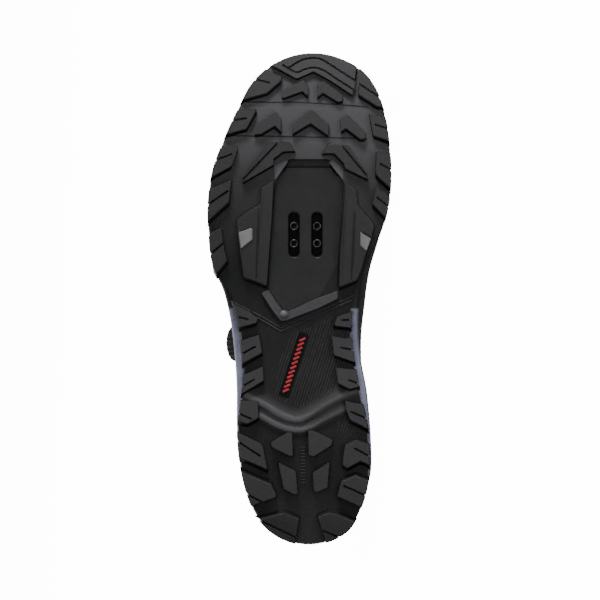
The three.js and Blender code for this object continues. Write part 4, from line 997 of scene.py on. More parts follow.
REAR_MEDIAL = (
    ((351, 311), (336.5, 316), (333.5, 324), (335, 326), (352, 329)),
    ((351.5, 338), (345, 338), (331.5, 335.5), (333.5, 354.5), (353.5, 364)),
    ((354, 371), (335.5, 367), (337.5, 382.5), (349.5, 388.5), (362, 388)),
    ((364, 405), (344, 399), (345, 408), (349, 419), (369, 429)),
    ((369.5, 442.5), (355, 437.5), (344, 443), (341.5, 461), (342, 464), (347, 467), (360, 460), (369.5, 464.5)),
    ((368, 479), (355, 473.5), (340.5, 479.5), (336, 495), (362, 506.5)),
    ((354, 520), (336, 512), (328.5, 510.5), (317, 515), (318, 542)),
)
REAR_MEDIAL_SIPES = (
    ((341, 320), (356, 319)), ((340, 347), (355, 350)), ((348, 379), (363, 385)), ((350, 410.5), (372, 420)),
    ((354, 447), (373, 457)), ((343, 484), (370, 496)), ((316, 526), (342, 537)),
)
FORE_CHEVRONS = (
    ((282, 92), (303, 81.5), (308, 87), (307.5, 96.5), (302.5, 92), (285, 98.5), (282.5, 99)),
    ((317.5, 87), (323, 82.5), (342, 96), (342, 102), (338, 103), (322.5, 93.5), (317.5, 98)),
    ((255.5, 128), (275, 113), (281, 120), (281, 132.5), (275, 126.5), (261, 135), (255.5, 135.5)),
    ((292.5, 125), (311, 111), (328.5, 126), (327.5, 136), (310.5, 124), (293, 134.5)),
    ((340, 121), (346.5, 116), (358.5, 127.5), (365, 134), (364, 140), (360, 140), (345.5, 129), (341, 132.5)),
)
REAR_CHEVRONS = (
    ((272, 441), (288, 431.5), (292, 432), (292.5, 454), (290, 454.5), (272, 445.5)),
    ((308.5, 430), (314, 430), (332, 439), (331, 444), (313, 455), (309, 453.5)),
    ((279, 461.5), (295.5, 470), (297.5, 492), (294, 492.5), (284, 487)),
    ((329, 461), (313, 471.5), (314, 489), (316.5, 490.5), (327, 486)),
)
WINGS = (
    (((269, 143), (289.5, 143), (295, 152.5), (283.5, 153), (274, 160), (274, 166), (243, 184), (243, 179)),
     ((279, 143), (242, 182))),
    (((327.5, 145), (348, 146.5), (367.5, 177), (367.5, 181), (344, 169.5), (343.5, 165), (334, 155), (322, 155)),
     ((340, 145), (369, 180))),
)
TOE_BUMPER = ((273, 66.5), (296.5, 81), (313.5, 73.5), (329, 82), (353, 98), (353.5, 67.5))
TOE_GROOVES = (
    ((282.5, 65.8), (290, 70.2), (296.8, 73.6), (304, 70.6), (312.2, 68.6), (321, 70.2), (338, 81), (358, 94)),
    ((287.5, 70), (299, 62.6), (306, 60), (312.2, 59.2), (321, 60.4), (336, 69.8), (358, 84)),
)
FLEX_LINES = (
    ((245, 103), (300, 103.4), (345, 106), (368, 108.4)),
    ((232, 137), (300, 137.6), (345, 139), (366, 140.4)),
)
CORNER_FACETS = (
    ((274, 166.6), (288.4, 160.4), (287.6, 163.4), (275.2, 181.4)),
    ((328.6, 163.4), (332.4, 161), (343, 168.6), (343, 181.4)),
)
REAR_FACET = ((337.4, 263), (337.4, 290.4), (319, 297))
FACET_LINES = (((238, 232.4), (251.2, 228)), ((362, 232.6), (372.4, 238.6)))
LATERAL_RAIL = (
    (274.5, 180), (261, 188.5), (260, 205), (250, 210), (237, 220), (237, 232), (239.5, 251), (243.5, 278),
    (255, 282), (267, 287), (268, 284), (270, 255), (273, 215),
)
LATERAL_GROOVE = ((259, 209), (257.5, 250), (256.5, 278))
RAIL_FACETS = (
    ((238.8, 232.8), (251, 228.4), (253, 229.4), (253, 240), (241, 249.5)),
    ((360, 232.5), (370.8, 239.2), (366, 252), (359.5, 246)),
)
MEDIAL_RAIL = (
    (344.5, 183), (356.5, 190), (358, 206), (370, 220), (374.5, 226), (371.5, 239), (366, 255), (361, 272),
    (357, 281), (338.5, 288.5), (338.2, 284), (339.5, 250), (341.8, 225),
)
MEDIAL_GROOVE = ((354, 212), (352.5, 250), (350.8, 279))
LIP = (
    (268.5, 289.5), (276, 301), (283, 310.5), (288, 311.5), (316, 298.5), (337.5, 290.5), (338, 299), (320, 308),
    (286, 321), (281, 321.5), (272, 310.5), (261, 293),
)
LIP_KNOB = (284, 314.5)
# The knob's dome: radius, height over the lip's face
KNOB_DOME = ((2.7, 0.9), (2.6, 0.1), (2.2, -0.6), (1.5, -1.15), (0.8, -1.4), (0.2, -1.46))
V_LINES = (
    ((231, 301), (255, 313.2), (281, 327.4), (320, 310.4), (354, 295.4)),
    ((235, 305.6), (256, 316.6), (281, 331), (320, 314), (351.5, 300.2)),
)
BREAST_UPPER = ((247, 395), (262, 402), (280, 413), (297, 418.5), (310, 413), (325, 404), (340, 396), (355, 391))
BREAST_LOWER = ((261, 415), (280, 425), (298, 429), (310, 426), (325, 418), (343, 409))
HATCH = ((291, 334), (330, 318), (352, 316), (354, 388), (336, 390), (300, 407), (275, 397), (279, 362))
HATCH_HEEL = ((337, 413), (345, 414), (348, 424), (366, 431), (352, 434), (336, 438))
BAR_LINE = ((303, 337), (285, 392))
BAR_WIDTH = 7.0
BAR_COUNT = 12
BAR_SLANT = np.array([0.42, 0.9])
STRIP_OVERRUN = 2.6
STRIP_SHARE = 0.85
HATCH_PITCH = 2.3 * PIXEL
HEEL_RIBS = (303, 446, 482)
FLEX_ROWS = (104.7, 138.4)
FLEX_LEAN = 0.035
# Levels of painted light on the rubber's faces, below zero painted shade: slightly darker lugs and rails, lighter
# heel lugs, toe bumper and corner facets.
LUG_PAINTED_SHADE = -0.05
HEEL_PAINTED_LIGHT = 0.14
TOE_PAINTED_LIGHT = 0.1
RAIL_PAINTED_SHADE = -0.1
CHEVRON_GROW = 0.35
FACET_PAINTED_HIGHLIGHT = 0.85
FACET_PROUD = 0.35
FACET_ROOT = 0.5


def edge_chain(chain, side):
    """A lug's inner outline joined to the sole's edge from its heel end back to its toe end."""
    inner = on_sole(chain)
    first, last = (np.clip(inner[end, 0] / LENGTH, 0.0005, 0.9995) for end in (0, -1))
    outer = edge_line(side, last, first, 14)
    return np.concatenate([inner[1:-1], outer])


def add_edge_lugs(builder, chains, sipes, side, tone):
    for chain, sipe in zip(chains, sipes):
        add_lug(builder, edge_chain(chain, side), tread, lug_root, cuts=[on_sole(sipe)], radius=0.8, tone=tone,
                foot=LUG_FOOT)


def add_chevrons(builder, chevrons, tone, foot=0.0):
    for chevron in chevrons:
        add_lug(builder, inset(counterclockwise(on_sole(chevron)), -CHEVRON_GROW), chevron_face, skin_under,
                draft=0.4, bevel=0.28, radius=0.6, tone=tone, foot=foot)


# Heel-breast ridges: line, height, half width; and the height of a flex step
BREAST_RIDGES = ((BREAST_UPPER, 1.8, 4.0), (BREAST_LOWER, 1.5, 3.2))
FLEX_HEIGHT = 0.5
# Painted shade that blackens the arch's skin
ARCH_PAINTED_SHADE = -0.95


def near_line(x, y, line, width):
    """One on a line of the photo's frame, fading out over a width."""
    path = spline(on_sole(line), 40)
    return np.exp(-((gap_to(np.column_stack([x, y]), path, closed=False) / width) ** 2))


def flex_way(x, y, row):
    """How far ahead of a flex step a point lies; the steps lean a little."""
    return x + FLEX_LEAN * y - (HEEL_ROW - row) * PIXEL


def base_relief(x, y):
    """How far the skin's ground side stands proud: flex steps and heel-breast ridges."""
    flex = np.zeros(len(x))
    for row in FLEX_ROWS:
        flex += FLEX_HEIGHT * smooth_step(flex_way(x, y, row), -1.2, 0.2)
    breast = [high * near_line(x, y, line, wide) for line, high, wide in BREAST_RIDGES]
    return flex * (x > 0.7 * LENGTH) + np.maximum(*breast)


def ground(x, y):
    return skin_under(x) - base_relief(x, y)


rail_face = raised(tread, RAIL_FACE)
chevron_face = raised(tread, RAIL_FACE / 2)
lug_root = raised(skin_under, SKIN / 2)


def skin_painted_light(x, y):
    """Painted light and shade on the skin between the lugs: lighter at the toe, the heel and behind the flex steps,
    painted highlights on the heel-breast ridges, painted shade in the arch.
    """
    fade = 0.55 + 0.45 * smooth_step(-y, -14, 8)
    crest_highlight = fade * np.maximum(near_line(x, y, BREAST_UPPER, 1.9), 0.95 * near_line(x, y, BREAST_LOWER, 1.8))
    valley = np.maximum(near_line(x, y, BREAST_UPPER, 4.6), near_line(x, y, BREAST_LOWER, 2.8))
    band = sum(smooth_step(flex_way(x, y, row), -5, -0.5) * (flex_way(x, y, row) < 0) for row in FLEX_ROWS)
    toe = smooth_step(x, 0.58 * LENGTH, 0.84 * LENGTH)
    shade_side = 0.25 * smooth_step(x, 0.55 * LENGTH, 0.62 * LENGTH)
    heel = (1 - smooth_step(x, 0.02 * LENGTH, 0.16 * LENGTH)) * (1 - smooth_step(np.abs(y), 12, 26))
    tone = ARCH_PAINTED_SHADE + 1.15 * toe + shade_side + 1.12 * heel + 0.22 * band * toe
    return np.maximum(tone, np.maximum(ARCH_PAINTED_SHADE + 1.25 * valley, -0.9 + 3.0 * crest_highlight))


# Forefoot
fore = Builder()
whole_ring = counterclockwise(sole_ring(110, LUG_PROUD, True))
fore_ring = counterclockwise(parted(whole_ring, GAP, True))
plan_solid(fore, [fore_ring, pocket_ring()], ground, skin_top, 1.7, tone=skin_painted_light)
add_edge_lugs(fore, FORE_LATERAL, FORE_LATERAL_SIPES, LATERAL, LUG_PAINTED_SHADE)
add_edge_lugs(fore, FORE_MEDIAL, FORE_MEDIAL_SIPES, MEDIAL, LUG_PAINTED_SHADE)
toe_inner = on_sole(TOE_BUMPER)
toe_outer = np.concatenate([
    edge_line(MEDIAL, toe_inner[-1, 0] / LENGTH, 1, 12)[:-1],
    edge_line(LATERAL, 1, toe_inner[0, 0] / LENGTH, 12)[1:],
])
add_lug(fore, np.concatenate([toe_inner[1:-1], toe_outer]), tread, lug_root,
        cuts=[spline(on_sole(line), 26) for line in TOE_GROOVES], radius=0.8, tone=TOE_PAINTED_LIGHT, foot=TOE_FOOT)
add_chevrons(fore, FORE_CHEVRONS, LUG_PAINTED_SHADE, CHEVRON_FOOT)
for outline, sipe in WINGS:
    add_lug(fore, on_sole(outline), chevron_face, skin_under, cuts=[on_sole(sipe)], draft=0.5, radius=0.6,
            tone=LUG_PAINTED_SHADE, foot=TOE_FOOT)
for outline, groove in ((LATERAL_RAIL, LATERAL_GROOVE), (MEDIAL_RAIL, MEDIAL_GROOVE)):
    add_lug(fore, on_sole(outline), rail_face, skin_under, draft=0.7, bevel=0.8, radius=1.0, tone=RAIL_PAINTED_SHADE,
            worn=0.3, foot=CHEVRON_FOOT)
    # The groove line along each rail is painted dark as shade.
    add_bead(fore, groove, 20, 0.4, 0.12, rail_face, -0.75)
# The flex lines are painted dark as shade in their grooves.
for line in FLEX_LINES:
    add_bead(fore, line, 50, 0.38, 0.14, ground, -0.72)
# The corner facets are painted light as faces lit by the lamp.
for outline in CORNER_FACETS:
    add_lug(fore, on_sole(outline), raised(skin_under, -FACET_PROUD), raised(skin_under, FACET_ROOT), draft=0.15,
            bevel=0.15, radius=0.3, tone=FACET_PAINTED_HIGHLIGHT, worn=0)
# The facet lines are painted black as shade.
for line in FACET_LINES:
    add_bead(fore, line, 8, 0.35, 0.15, rail_face, -1.0)
# The V lines carry the bead's painted highlight.
for line in V_LINES:
    add_bead(fore, line[:3], 24, 0.5, 0.6, skin_under)
    add_bead(fore, line[2:], 30, 0.5, 0.6, skin_under)
fore.piece("tread_forefoot", tread_rubber, replaces=["outsole_forefoot"], slot="rubber", sharp=38)

# Pocket lip, painted lighter as a lit face
lip = Builder()
add_lug(lip, on_sole(LIP), raised(tread, LIP_FACE), skin_under, draft=0.5, bevel=0.45, radius=1.0)
lip.piece("pocket_lip_painted_light", lip_painted_light_grey, slot="rubber", sharp=38)
# Knob on the lip, painted light as a highlight
knob_place = on_sole([LIP_KNOB])[0]
knob_seat = float(tread(knob_place[0])) + LIP_FACE
knob = Builder()
knob.add(*loft(turned_rings(knob_place, [(radius, knob_seat + rise) for radius, rise in KNOB_DOME], 28)))
knob.piece("lip_knob_painted_highlight", knob_painted_highlight_grey, slot="rubber", sharp=50)
# Rail facets, painted light grey as lit faces
facets = Builder()
for outline in RAIL_FACETS:
    add_lug(facets, on_sole(outline), raised(rail_face, -FACET_PROUD), raised(rail_face, FACET_ROOT), draft=0.5,
            bevel=0.2, radius=0.5)
facets.piece("rail_facets_painted_light", facet_painted_light_grey, slot="rubber", sharp=38)


# Heel and arch
rear = Builder()
rear_ring = counterclockwise(parted(whole_ring, 0.0, False))
breast_lines = [spline(on_sole(line), 60) for line in (BREAST_UPPER, BREAST_LOWER)]
plan_solid(rear, [rear_ring], ground, skin_top, 1.6, tone=skin_painted_light, lines=breast_lines)
add_edge_lugs(rear, REAR_LATERAL, REAR_LATERAL_SIPES, LATERAL, HEEL_PAINTED_LIGHT)
add_edge_lugs(rear, REAR_MEDIAL, REAR_MEDIAL_SIPES, MEDIAL, HEEL_PAINTED_LIGHT)
add_chevrons(rear, REAR_CHEVRONS, HEEL_PAINTED_LIGHT)


def add_bar(builder, center, direction, long, wide, high, root=0.3):
    """A tiny moulded bar on the skin, painted dark at its root as shade and light on its top as a highlight."""
    direction = direction / np.linalg.norm(direction) * long / 2
    across = unit(left_of(direction)) * wide / 2
    rings = []
    for grow, lift in ((1.0, -root), (0.75, high)):
        plan = np.array([center + (direction * turn + across * side) * grow
                         for turn, side in ((-1, -1), (1, -1), (1, 1), (-1, 1))])
        rings.append(np.column_stack([plan, ground(plan[:, 0], plan[:, 1]) - lift]))
    builder.add(*loft(rings), tone=[-0.6] * 4 + [0.3] * 4)


bar_start, bar_end = on_sole(BAR_LINE)
bar_way = bar_end - bar_start
clear_strip = BAR_WIDTH * PIXEL / 2 + 1.6
for region in (HATCH, HATCH_HEEL):
    ring = on_sole(region)
    low, high = ring.min(axis=0), ring.max(axis=0)
    for column, y in enumerate(np.arange(low[1] - 20, high[1] + 20, HATCH_PITCH * 1.25)):
        rows = np.arange(low[0], high[0], HATCH_PITCH)
        lean = (rows - rows[0]) * bar_way[1] / bar_way[0]
        spots = np.column_stack([rows + (column % 2) * HATCH_PITCH / 2, y + lean])
        clear = gap_to(spots, np.array([bar_start, bar_end]), closed=False) > clear_strip
        for spot in spots[inside(spots, ring) & clear]:
            add_bar(rear, spot, bar_way, 1.5, 0.4, 0.26)
rib_column, rib_first, rib_last = HEEL_RIBS
for row in np.arange(rib_first, rib_last, 3.2):
    add_bar(rear, on_sole([(rib_column, row)])[0], np.array([0.0, 1.0]), 3.2, 0.7, 0.35)
rear.piece("tread_rear", tread_rubber, replaces=["outsole_rear"], slot="rubber", sharp=38)

strip = Builder()
overrun = unit(bar_way) * STRIP_OVERRUN
strip_ring = rounded(slit_ring([bar_start - overrun, bar_end + overrun], clear_strip * STRIP_SHARE), 1.0)
plan_solid(strip, [strip_ring], raised(skin_under, -0.12), raised(skin_under, 0.5), 2.5)
strip.piece("bar_ground", recess_black, slot="rubber", sharp=38)
bars = Builder()
for count in range(BAR_COUNT):
    spot = bar_start + bar_way * (count + 0.5) / BAR_COUNT
    add_bar(bars, spot, BAR_SLANT, BAR_WIDTH * PIXEL * 1.15, 1.5, 0.45)
bars.piece("slanted_bars", bar_red, slot="rubber", sharp=38)


# Cleat plate with its two slots and the lower step at its front
SLOT_WIDTH = 6.7
SLOT_LENGTH = 27.5
SLOT_CHAMFER = 0.45
PLATE_STEP_ROW = 168
PLATE_STEP = 1.6
PLATE_STEP_SPAN = (-9.5, 15.5)
PLATE_STEP_AT = (HEEL_ROW - PLATE_STEP_ROW) * PIXEL


def slot_ring(y, grow=0.0):
    half = (SLOT_LENGTH - SLOT_WIDTH) / 2
    turn = np.linspace(-math.pi / 2, math.pi / 2, 15)
    radius = SLOT_WIDTH / 2 + grow
    ahead = np.column_stack([BOLT_X + half + radius * np.cos(turn), y + radius * np.sin(turn)])
    behind = np.column_stack([BOLT_X - half - radius * np.cos(turn), y - radius * np.sin(turn)])
    return counterclockwise(np.concatenate([ahead, behind]))


bolt_lines = [BOLT_Y + side * BOLT_SPACING / 2 for side in (-1, 1)]
slots = [slot_ring(y) for y in bolt_lines]
chamfers = [slot_ring(y, SLOT_CHAMFER) for y in bolt_lines]


def plate_under(x, y):
    points = np.column_stack([x, y])
    near = np.minimum(*(gap_to(points, ring) for ring in slots))
    lift = SLOT_CHAMFER * 0.8 * np.clip(1 - near / SLOT_CHAMFER, 0, 1)
    step = PLATE_STEP * smooth_step(x, PLATE_STEP_AT - 0.3, PLATE_STEP_AT + 0.3)
    return PLATE_UNDERSIDE + np.maximum(lift, step)


plate = Builder()
step_lines = [np.column_stack([np.full(2, PLATE_STEP_AT + shift), PLATE_STEP_SPAN]) for shift in (-0.35, 0.35)]
closed_chamfers = [np.concatenate([ring, ring[:1]]) for ring in chamfers]
plate_top = PLATE_UNDERSIDE + PLATE_THICKNESS
plan_solid(plate, [pocket_ring(GAP), *slots], plate_under, level(plate_top), 1.8,
           lines=[*closed_chamfers, *step_lines])
# Painted shade: the plate ahead of its front step is darkened nearly to black.
plate.tone = list(-0.9 * smooth_step(np.array(plate.points)[:, 0], PLATE_STEP_AT - 0.4, PLATE_STEP_AT + 0.4))
# The rear facet is painted dark as shade.
add_lug(plate, on_sole(REAR_FACET), level(PLATE_UNDERSIDE - 0.25), level(PLATE_UNDERSIDE + 0.3), draft=0.1,
        bevel=0.1, radius=0.3, tone=-0.85, worn=0)
plate.piece("cleat_plate_moulded", nylon, replaces=["cleat_plate"], slot="nylon", sharp=30)


def bolt_rectangle(grow=0.0):
    """The nut plate's plan, grown by a clearance."""
    long, wide = nut_long + grow, nut_wide + grow
    return np.array([(BOLT_X + way * long, BOLT_Y + side * wide)
                     for way, side in ((-1, -1), (1, -1), (1, 1), (-1, 1))])


nut = Builder()
nut_foot = plate_top + GAP
nut_top = nut_foot + NUT_PLATE_THICKNESS
nut_long = (BOLT_ROWS + 2 * BARREL_RADIUS) / 2 + NUT_PLATE_MARGIN
nut_wide = BOLT_SPACING / 2 + BARREL_RADIUS + NUT_PLATE_MARGIN
bolt_places = [(BOLT_X + row * BOLT_ROWS / 2, y) for y in bolt_lines for row in (-1, 1)]
bores = [turned_rings(spot, [(THREAD_RADIUS, 0)], 36)[0, :, :2] for spot in bolt_places]
# The nut plate is painted near black as the shade it lies in behind the slots; the barrels keep the steel's colour.
plan_solid(nut, [rounded(bolt_rectangle(), 1.2), *bores], level(nut_foot), level(nut_top), 3.0, tone=level(-1.0))
thread_steps = 12
thread_rise = (nut_top - PLATE_UNDERSIDE - NUT_CLEARANCE - 0.5) / thread_steps
foot = PLATE_UNDERSIDE + NUT_CLEARANCE
profile = [(BARREL_RADIUS, nut_top - 0.4), (BARREL_RADIUS, foot + 0.25), (BARREL_RADIUS - 0.25, foot),
           (THREAD_RADIUS + 0.3, foot)]
for step in range(thread_steps):
    profile += [(THREAD_RADIUS + 0.02, foot + 0.3 + thread_rise * step),
                (THREAD_RADIUS + 0.2, foot + 0.3 + thread_rise * (step + 0.5))]
profile.append((THREAD_RADIUS + 0.02, nut_top - 0.2))
for spot in bolt_places:
    nut.add(turned_rings(spot, profile, 36).reshape(-1, 3), grid_faces(len(profile), 36, wrap=True))
nut.piece("threaded_plate", steel, replaces=["nut_plate"], slot="steel", sharp=30)


# Midsole: bare foam behind the V, dark ahead of it
FOAM_DARK_AHEAD = 145.0
MEDIAL_SWELL = 1.3


def foam_tone(points):
    return -smooth_step(points[:, 0], FOAM_DARK_AHEAD - 2, FOAM_DARK_AHEAD + 2)


def midsole_piece():
    steps = 110
    bulge = curve_through(MIDSOLE_SIDE, 1)
    rows = [0, 0.03, 0.08, 0.16, 0.24, 0.33, 0.42, 0.48, 0.52, 0.555, 0.59, 0.68, 0.78, 0.87, 0.94, 0.98, 1]
    rings = []
    for up in rows:
        ring = sole_ring(steps, LUG_PROUD - float(bulge(up)) * MIDSOLE_BULGE, False)
        low, high = skin_top(ring[:, 0]) + GAP, edge_height(ring[:, 0])
        rings.append(np.column_stack([ring, low + (high - low) * up]))
    builder = Builder()
    sides = np.concatenate(rings)
    heel_swell = smooth_step(sides[:, 0], 30, 50) * (1 - smooth_step(sides[:, 0], 92, 112)) * (sides[:, 1] > 0)
    lower = np.clip((edge_height(sides[:, 0]) - sides[:, 2]) / 10, 0, 1)
    sides[:, 1] += MEDIAL_SWELL * heel_swell * lower
    rings = np.split(sides, len(rings))
    builder.add(sides, grid_faces(len(rings), len(rings[0])), tone=foam_tone(sides))
    pocket, room = pocket_ring(-GAP), bolt_rectangle(NUT_CLEARANCE)

    def cap(loops, height, downward):
        placed, triangles = plan_mesh(loops, 6.0)
        points = np.column_stack([placed, height(placed[:, 0])])
        builder.add(points, triangles[:, ::-1] if downward else triangles, tone=foam_tone(points))

    def wall(ring, low, high):
        points = np.concatenate([np.column_stack([ring, height(ring[:, 0])]) for height in (low, high)])
        builder.add(points, grid_faces(2, len(ring)), tone=foam_tone(points))

    foot, ceiling, roof = raised(skin_top, GAP), level(plate_top + GAP), level(nut_top + GAP)
    cap([counterclockwise(rings[0][:, :2]), pocket], foot, True)
    cap([pocket, room], ceiling, True)
    cap([room], roof, True)
    cap([counterclockwise(rings[-1][:, :2])], edge_height, False)
    wall(pocket, foot, ceiling)
    wall(room, ceiling, roof)
    piece = builder.piece("midsole_foam", foam, replaces=["midsole"], slot="foam")
    weld(piece, 0.00002)
    piece.data.set_sharp_from_angle(angle=math.radians(48))


midsole_piece()


# Upper
mirrored = {name: curve_through(RIBS, column, mirrored=True)
            for name, column in (("x", 1), ("z", 3), ("rise", 4), ("swell", 5), ("run", 6), ("drop", 7))}
rim_y = curve_through(RIBS, 2)
bulge_swell = curve_through(INSTEP_BULGE, 1, mirrored=True)


def edge_point(around):
    around = np.asarray(around) % 1.0
    side = np.where(around < 0.5, LATERAL, MEDIAL)
    turn = np.pi * np.abs(1 - 2 * around)
    share = station_of(turn)
    taper = LUG_PROUD + UPPER_INSET
    x = LENGTH / 2 + (share - 0.5) * (LENGTH - 2 * taper)
    return np.stack([x, side * (reach(share, side) - taper * np.sin(turn)), edge_height(x) + GAP], axis=-1)


def rib_point(around, up):
    around, up = np.broadcast_arrays(np.asarray(around, float) % 1.0, np.asarray(up, float))
    side = np.where(around < 0.5, LATERAL, MEDIAL)
    at = 1 - np.abs(1 - 2 * around)
    foot = edge_point(around)
    ahead, behind = edge_point(around + PROBE / 2), edge_point(around - PROBE / 2)
    outward = unit(np.stack([behind[..., 1] - ahead[..., 1], ahead[..., 0] - behind[..., 0], 0 * at], axis=-1))
    rim = np.stack([mirrored["x"](at) * LENGTH, side * rim_y(at) * HALF_BALL, mirrored["z"](at) * INSTEP], axis=-1)
    swell = mirrored["swell"](at) + np.where(side == MEDIAL, bulge_swell(at), 0)
    stand = foot + outward * (swell * HALF_BALL)[..., None]
    stand[..., 2] += mirrored["rise"](at) * INSTEP
    shoulder = rim + (foot - rim) * mirrored["run"](at)[..., None]
    shoulder[..., 2] = rim[..., 2] - mirrored["drop"](at) * INSTEP
    up = up[..., None]
    down = 1 - up
    return down ** 3 * foot + 3 * down ** 2 * up * stand + 3 * down * up ** 2 * shoulder + up ** 3 * rim


def upper_normal(around, up):
    around, up = np.broadcast_arrays(np.asarray(around, float), np.asarray(up, float))
    near = np.minimum(up, 0.99)
    along_rim = rib_point(around + PROBE, near) - rib_point(around - PROBE, near)
    along_rib = rib_point(around, near + PROBE) - rib_point(around, near)
    normal = unit(np.cross(along_rib, along_rim))
    flat = unit(normal * np.array([1.0, 1.0, 0.0]))
    return np.where((up == 0)[..., None], flat, normal)


def upper_point(around, up, offset=0.0):
    return rib_point(around, up) + upper_normal(around, up) * np.asarray(offset, float)[..., None]


NEAR_RIM = 0.96
RIM_ROUND = 0.35
# Soft creases of the fabric: place round the upper, share of the rib, half lengths along both, depth in mm
CREASES = (
    (0.145, 0.55, 0.022, 0.35, 0.55), (0.165, 0.62, 0.02, 0.3, -0.4), (0.185, 0.5, 0.02, 0.35, 0.5),
    (0.855, 0.55, 0.022, 0.35, 0.55), (0.835, 0.62, 0.02, 0.3, -0.4), (0.815, 0.5, 0.02, 0.35, 0.5),
    (0.235, 0.35, 0.03, 0.22, 0.4), (0.765, 0.35, 0.03, 0.22, 0.45), (0.735, 0.28, 0.025, 0.2, -0.35),
    (0.31, 0.62, 0.02, 0.26, 0.45), (0.69, 0.62, 0.02, 0.26, 0.45), (0.34, 0.5, 0.018, 0.3, -0.3),
)


def crease(around, up):
    total = np.zeros(np.broadcast(around, up).shape)
    for place, height, wide, tall, depth in CREASES:
        slant = (around - place) + 0.02 * (up - height)
        total -= depth * np.exp(-((slant / wide * 1.6) ** 2) - (((up - height) / tall) ** 2))
    total += 0.12 * np.sin(around * 150) * np.sin(up * 9) * np.sin(up * math.pi)
    return total


def upper_piece():
    columns = 300
    ups = np.linspace(0, 1, 52)
    around = np.linspace(0, 1, columns, endpoint=False)
    profile = [(up, 0.0, True) for up in ups]
    profile += [(1.0, -0.5 * UPPER_WALL, None)]
    profile += [(up, -UPPER_WALL, False) for up in ups[::-1]]
    rings, uv, holes = [], [], []
    at = 1 - np.abs(1 - 2 * around)
    for up, offset, outer in profile:
        shift = offset + crease(around, up) * math.sin(math.pi * up)
        ring = upper_point(around, up, shift)
        if outer is None:
            ring = ring + unit(rib_point(around, 1.0) - rib_point(around, NEAR_RIM)) * RIM_ROUND
        rings.append(ring)
        uv.append(np.column_stack([around * 3.2, np.full(columns, up * 0.45)]))
        vamp = smooth_step(at, 0.1, 0.16) * (1 - smooth_step(at, 0.36, 0.42)) * smooth_step(up, 0.16, 0.22)
        holes.append(vamp * (1 - smooth_step(up, 0.66, 0.72)) * (1.0 if outer else 0.0))
    new_piece("upper_fabric", np.concatenate(rings), grid_faces(len(rings), columns, wrap=True), upper_weave,
              replaces=["upper"], slot="upper_fabric", marks={"holes": np.concatenate(holes)},
              uv=np.concatenate(uv), sharp=60)


upper_piece()


def under_curve(rows):
    curve = curve_through(rows, 1)
    return lambda points: curve(points[..., 0] / LENGTH) * INSTEP - points[..., 2]


def rib_span(around, low, allowed):
    """The first stretch of each rib that an overlay covers, from a lower share up to its free edge."""
    steps = 240
    spans = []
    for place, start in zip(around, low):
        ups = np.linspace(start, 1, steps)
        room = allowed(upper_point(np.full(steps, place), ups, np.full(steps, GAP + OVERLAY)))
        if room[0] <= 0:
            spans.append((start, start))
            continue
        outside = np.flatnonzero(room <= 0)
        if len(outside) == 0:
            spans.append((start, 1.0))
            continue
        index = outside[0]
        share = room[index - 1] / (room[index - 1] - room[index])
        spans.append((start, ups[index - 1] + share * (ups[index] - ups[index - 1])))
    return np.array(spans)


OVERLAY_FOOT = 0.004
OVERLAY_LEAST = 0.012
OVERLAY_ROUND = 1.3
OVERLAY_EDGE = 0.35
STITCH_INSET = 2.6
STITCH_LONG = 2.3
STITCH_GAP = 0.9
STITCH_THICK = 0.34
STITCH_SIDES = 6
# Along a stitch: share of its length, share of its thickness
STITCH_FORM = ((0, 0.35), (0.18, 1), (0.82, 1), (1, 0.35))


def add_stitches(around, edge):
    """A row of short threads along an overlay's free edge, a little inside it."""
    path, normal = upper_point(around, edge, GAP + OVERLAY), upper_normal(around, edge)
    inward = np.cross(normal, unit(np.gradient(path, axis=0)))
    towards = upper_point(around, np.maximum(edge - 0.02, 0), GAP + OVERLAY) - path
    inward *= np.sign(np.sum(inward * towards, axis=1))[:, None]
    path = path + inward * STITCH_INSET
    travelled = travelled_along(path)
    turn = np.linspace(0, 2 * math.pi, STITCH_SIDES, endpoint=False)[:, None]
    end = travelled[-1] - STITCH_LONG - STITCH_INSET
    for start in np.arange(STITCH_INSET, end, STITCH_LONG + STITCH_GAP):
        rings = []
        for share, thick in STITCH_FORM:
            where = start + share * STITCH_LONG
            spot, out, across = (np.array([np.interp(where, travelled, values[:, axis]) for axis in range(3)])
                                 for values in (path, normal, inward))
            rings.append(spot + (out * np.sin(turn) * 0.6 + across * np.cos(turn)) * STITCH_THICK * thick)
        stitches.add(*loft(rings, flip=True))


stitches = Builder()


